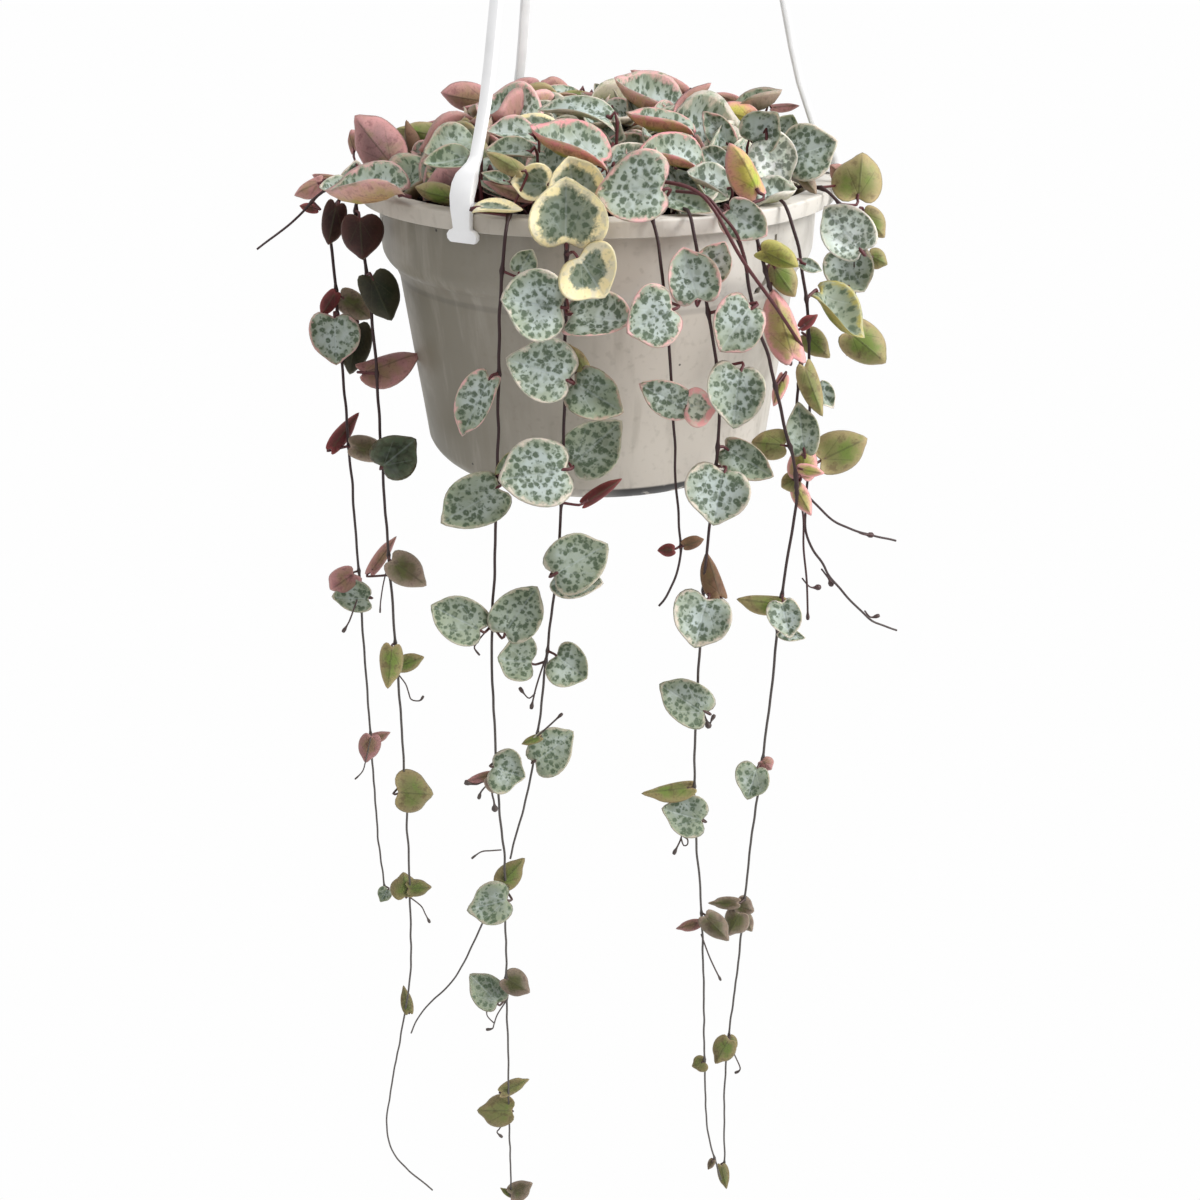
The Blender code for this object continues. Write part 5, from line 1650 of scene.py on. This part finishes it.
@dataclass
class Foliage:
    """Every leaf, each a cushioned heart-shaped blade."""

    thickness: float = 1.5
    around: int = 32
    levels: int = 8
    reach: float = 12.0
    hanging: float = 73.4
    footing: float = 60.0
    stalk: float = 0.42
    stalk_step: float = 0.9

    def blank(self) -> bmesh.types.BMesh:
        """An empty mesh with the attributes that the leaf skin reads.

        Returns:
            The mesh.
        """
        bm = bmesh.new()
        bm.verts.layers.float_color.new("skin")
        bm.verts.layers.float_color.new("margin")
        bm.verts.layers.float_vector.new("blade")
        bm.verts.layers.float.new("edge")
        return bm

    def blade(self, habit: Habit) -> bmesh.types.BMesh:
        """Shape and colour one blade.

        Args:
            habit: the leaf with its irregularities.

        Returns:
            A mesh with the attributes that the leaf skin reads.
        """
        bm = self.blank()
        layers = bm.verts.layers
        skin, margin = layers.float_color["skin"], layers.float_color["margin"]
        pattern, edge = layers.float_vector["blade"], layers.float["edge"]
        thick = min(self.thickness, 0.5 + habit.leaf.width * 0.08)
        bmesh.ops.create_uvsphere(bm, u_segments=self.around, v_segments=self.levels, radius=1.0)
        for vert in bm.verts:
            x, y, z = vert.co
            rho = min(1.0, math.hypot(x, y))
            angle = math.atan2(x, y) if rho > 1e-4 else 0.0
            side = (z > 1e-4) - (z < -1e-4)
            px, py = habit.outline(angle, rho)
            plump = thick / 2 * math.sqrt(max(0.0, 1.0 - rho ** 5))
            crease = 0.28 * math.exp(-(px / 0.9) ** 2) * (1.0 - rho ** 2) * (side > 0)
            height = habit.lift(px, py, angle, rho) + side * plump - crease
            vert.co = Vector((px + habit.skew * (py - habit.middle), py, height))
            vert[skin], vert[margin] = habit.colours(0.5 - 0.5 * side)
            vert[pattern] = Vector((px, py, habit.seed * 17.0 + side * 3.0))
            vert[edge] = rho
        bmesh.ops.transform(bm, matrix=habit.leaf.placing(), verts=bm.verts)
        bmesh.ops.recalc_face_normals(bm, faces=bm.faces)
        return bm

    def stalk_line(self, leaf: Leaf, stem_line: list) -> tuple[list[Vector], Vector | None]:
        """The curved stalk of a leaf.

        Args:
            leaf: the leaf.
            stem_line: its stem's centre line.

        Returns:
            The stalk's line from the blade to its foot, and the joint on the stem if it has one.
        """
        start = Vector(leaf.at)
        radius = math.hypot(start.x, start.y)
        joint = min(stem_line, key=lambda p: (p - start).length, default=None)
        if joint is not None and radius <= self.hanging and (joint - start).length >= self.reach:
            joint = None
        inward = min(1.0, self.footing / radius)
        foot = joint or Vector((start.x * inward, start.y * inward, SOIL_Z - 1.0))
        placing = leaf.placing()
        under = 1.0 if (placing.inverted() @ foot).z > 0 else -1.0
        root = placing @ Vector((0.0, 1.4, 0.15 * under))
        notch = placing @ Vector((0.0, 0.1, 0.2 * under))
        far = (foot - start).length
        elbow = placing @ Vector((0.0, -min(1.8, far * 0.25), min(1.2, far * 0.2) * under))
        return curve_through([root, notch, elbow, foot], self.stalk_step), joint

    def stalk_strand(self, leaf: Leaf, line: list[Vector]) -> Strand:
        """The stalk of a leaf as a strand that is thicker at both ends.

        Args:
            leaf: the leaf.
            line: the stalk's line.

        Returns:
            The strand.
        """
        middle = self.stalk * (0.75 + leaf.length / 60)
        last = len(line) - 1
        radii = [middle * (1.0 + 0.35 * abs(2 * i / last - 1) ** 3) for i in range(last + 1)]
        return Strand(line, radii, 1.0)

    def build(self, finishes: Finishes) -> None:
        """Make the blades by piece, then the stems with the leaves' stalks.

        Args:
            finishes: the object's materials.
        """
        lines = {key: stem.centre_line() for key, stem in STEMS.items()} | {"": []}
        stalks = {key: [] for key in lines}
        pieces = {}
        for seed, leaf in enumerate([*LEAVES, *Thicket().leaves()]):
            if leaf.piece not in pieces:
                pieces[leaf.piece] = self.blank()
            absorb(pieces[leaf.piece], self.blade(Habit(leaf, seed)))
            line, joint = self.stalk_line(leaf, lines[leaf.stem])
            stalks[leaf.stem].append(self.stalk_strand(leaf, line))
            if joint is not None:
                STEMS[leaf.stem].joints.append(joint)
        for stem, tendrils in TENDRILS.items():
            stalks[stem] += [tendril.strand() for tendril in tendrils]
        nodes = {leaf.piece: leaf.nodes for leaf in LEAVES}
        for name, bm in pieces.items():
            finish_piece(name, bm, finishes.leaf, nodes.get(name, ()))
        for seed, (key, stem) in enumerate(STEMS.items()):
            bm = tubes([stem.strand(seed), *stalks[key]])
            finish_piece(f"trail_{key}", bm, finishes.stem, [stem.node] if stem.node else ())
        finish_piece("crown_stalks", tubes(stalks[""]), finishes.stem)


# ------------------------------------------------------------------ studio

@dataclass
class Studio:
    """A plain pale floor, soft light and the camera, in metres."""

    floor_z: float = -1.3
    floor_size: float = 30.0
    fill: float = 0.68
    backdrop: float = 1.0
    look_at: tuple = (0, 0, -0.35)
    lamps: tuple = (("key_right", 14.0, 0.6, (0.98, -0.36, 0.30)),
                    ("top_soft", 4.5, 0.9, (0.15, -0.1, 0.85)))
    lens: float = 36.0
    camera_place: tuple = (0.0008, -0.403, -0.2015)
    camera_tilt: float = 61.5

    def floor(self, finishes: Finishes) -> None:
        """Lay the floor.

        Args:
            finishes: the object's materials.
        """
        bm = bmesh.new()
        bmesh.ops.create_grid(bm, x_segments=4, y_segments=4, size=self.floor_size,
                              matrix=Matrix.Translation((0, 0, self.floor_z)))
        floor = place_mesh("pale_floor", bm)
        floor.data.materials.append(finishes.floor)

    def world(self) -> None:
        """Fill the room with soft light, with a white backdrop for the camera."""
        world = bpy.data.worlds.new("soft_room")
        world.use_nodes = True
        tree = world.node_tree
        sky = tree.nodes["Background"]
        seen = tree.nodes.new("ShaderNodeBackground")
        for node, strength in ((sky, self.fill), (seen, self.backdrop)):
            node.inputs["Color"].default_value = (1.0, 1.0, 1.0, 1.0)
            node.inputs["Strength"].default_value = strength
        ray = tree.nodes.new("ShaderNodeLightPath")
        both = tree.nodes.new("ShaderNodeMixShader")
        for index, source in enumerate((ray.outputs["Is Camera Ray"], sky.outputs[0], seen.outputs[0])):
            tree.links.new(source, both.inputs[index])
        tree.links.new(both.outputs[0], tree.nodes["World Output"].inputs[0])
        bpy.context.scene.world = world

    def lamp(self, name: str, power: float, size: float, place: tuple) -> None:
        """Add a soft square light that looks at the pot.

        Args:
            name: the light's name.
            power: its power in watts.
            size: the length of its side in metres.
            place: where it stands, in metres.
        """
        data = bpy.data.lights.new(name, "AREA")
        data.energy = power
        data.size = size
        lamp = bpy.data.objects.new(name, data)
        bpy.context.scene.collection.objects.link(lamp)
        lamp.location = place
        lamp.rotation_euler = (Vector(self.look_at) - Vector(place)).to_track_quat("-Z", "Y").to_euler()

    def camera(self) -> None:
        """Set the camera."""
        data = bpy.data.cameras.new("view")
        data.lens = self.lens
        data.sensor_width = 36.0
        data.clip_end = 200.0
        camera = bpy.data.objects.new("view", data)
        camera.location = self.camera_place
        camera.rotation_euler = (math.radians(self.camera_tilt), 0.0, 0.0)
        bpy.context.scene.collection.objects.link(camera)
        bpy.context.scene.camera = camera

    def build(self, finishes: Finishes) -> None:
        """Make the floor, the lights and the camera.

        Args:
            finishes: the object's materials.
        """
        self.floor(finishes)
        self.world()
        for lamp in self.lamps:
            self.lamp(*lamp)
        bpy.context.scene.view_settings.view_transform = "Standard"
        self.camera()


def main() -> None:
    """Build the object and its studio, in order."""
    logging.basicConfig(level=logging.INFO, format="%(message)s")
    noise.seed_set(NOISE_SEED)
    finishes = Finishes()
    Studio().build(finishes)
    HangingPot().build(finishes)
    PottingSoil().build(finishes)
    ClipHanger().build(finishes)
    Foliage().build(finishes)


if __name__ == "__main__":
    main()
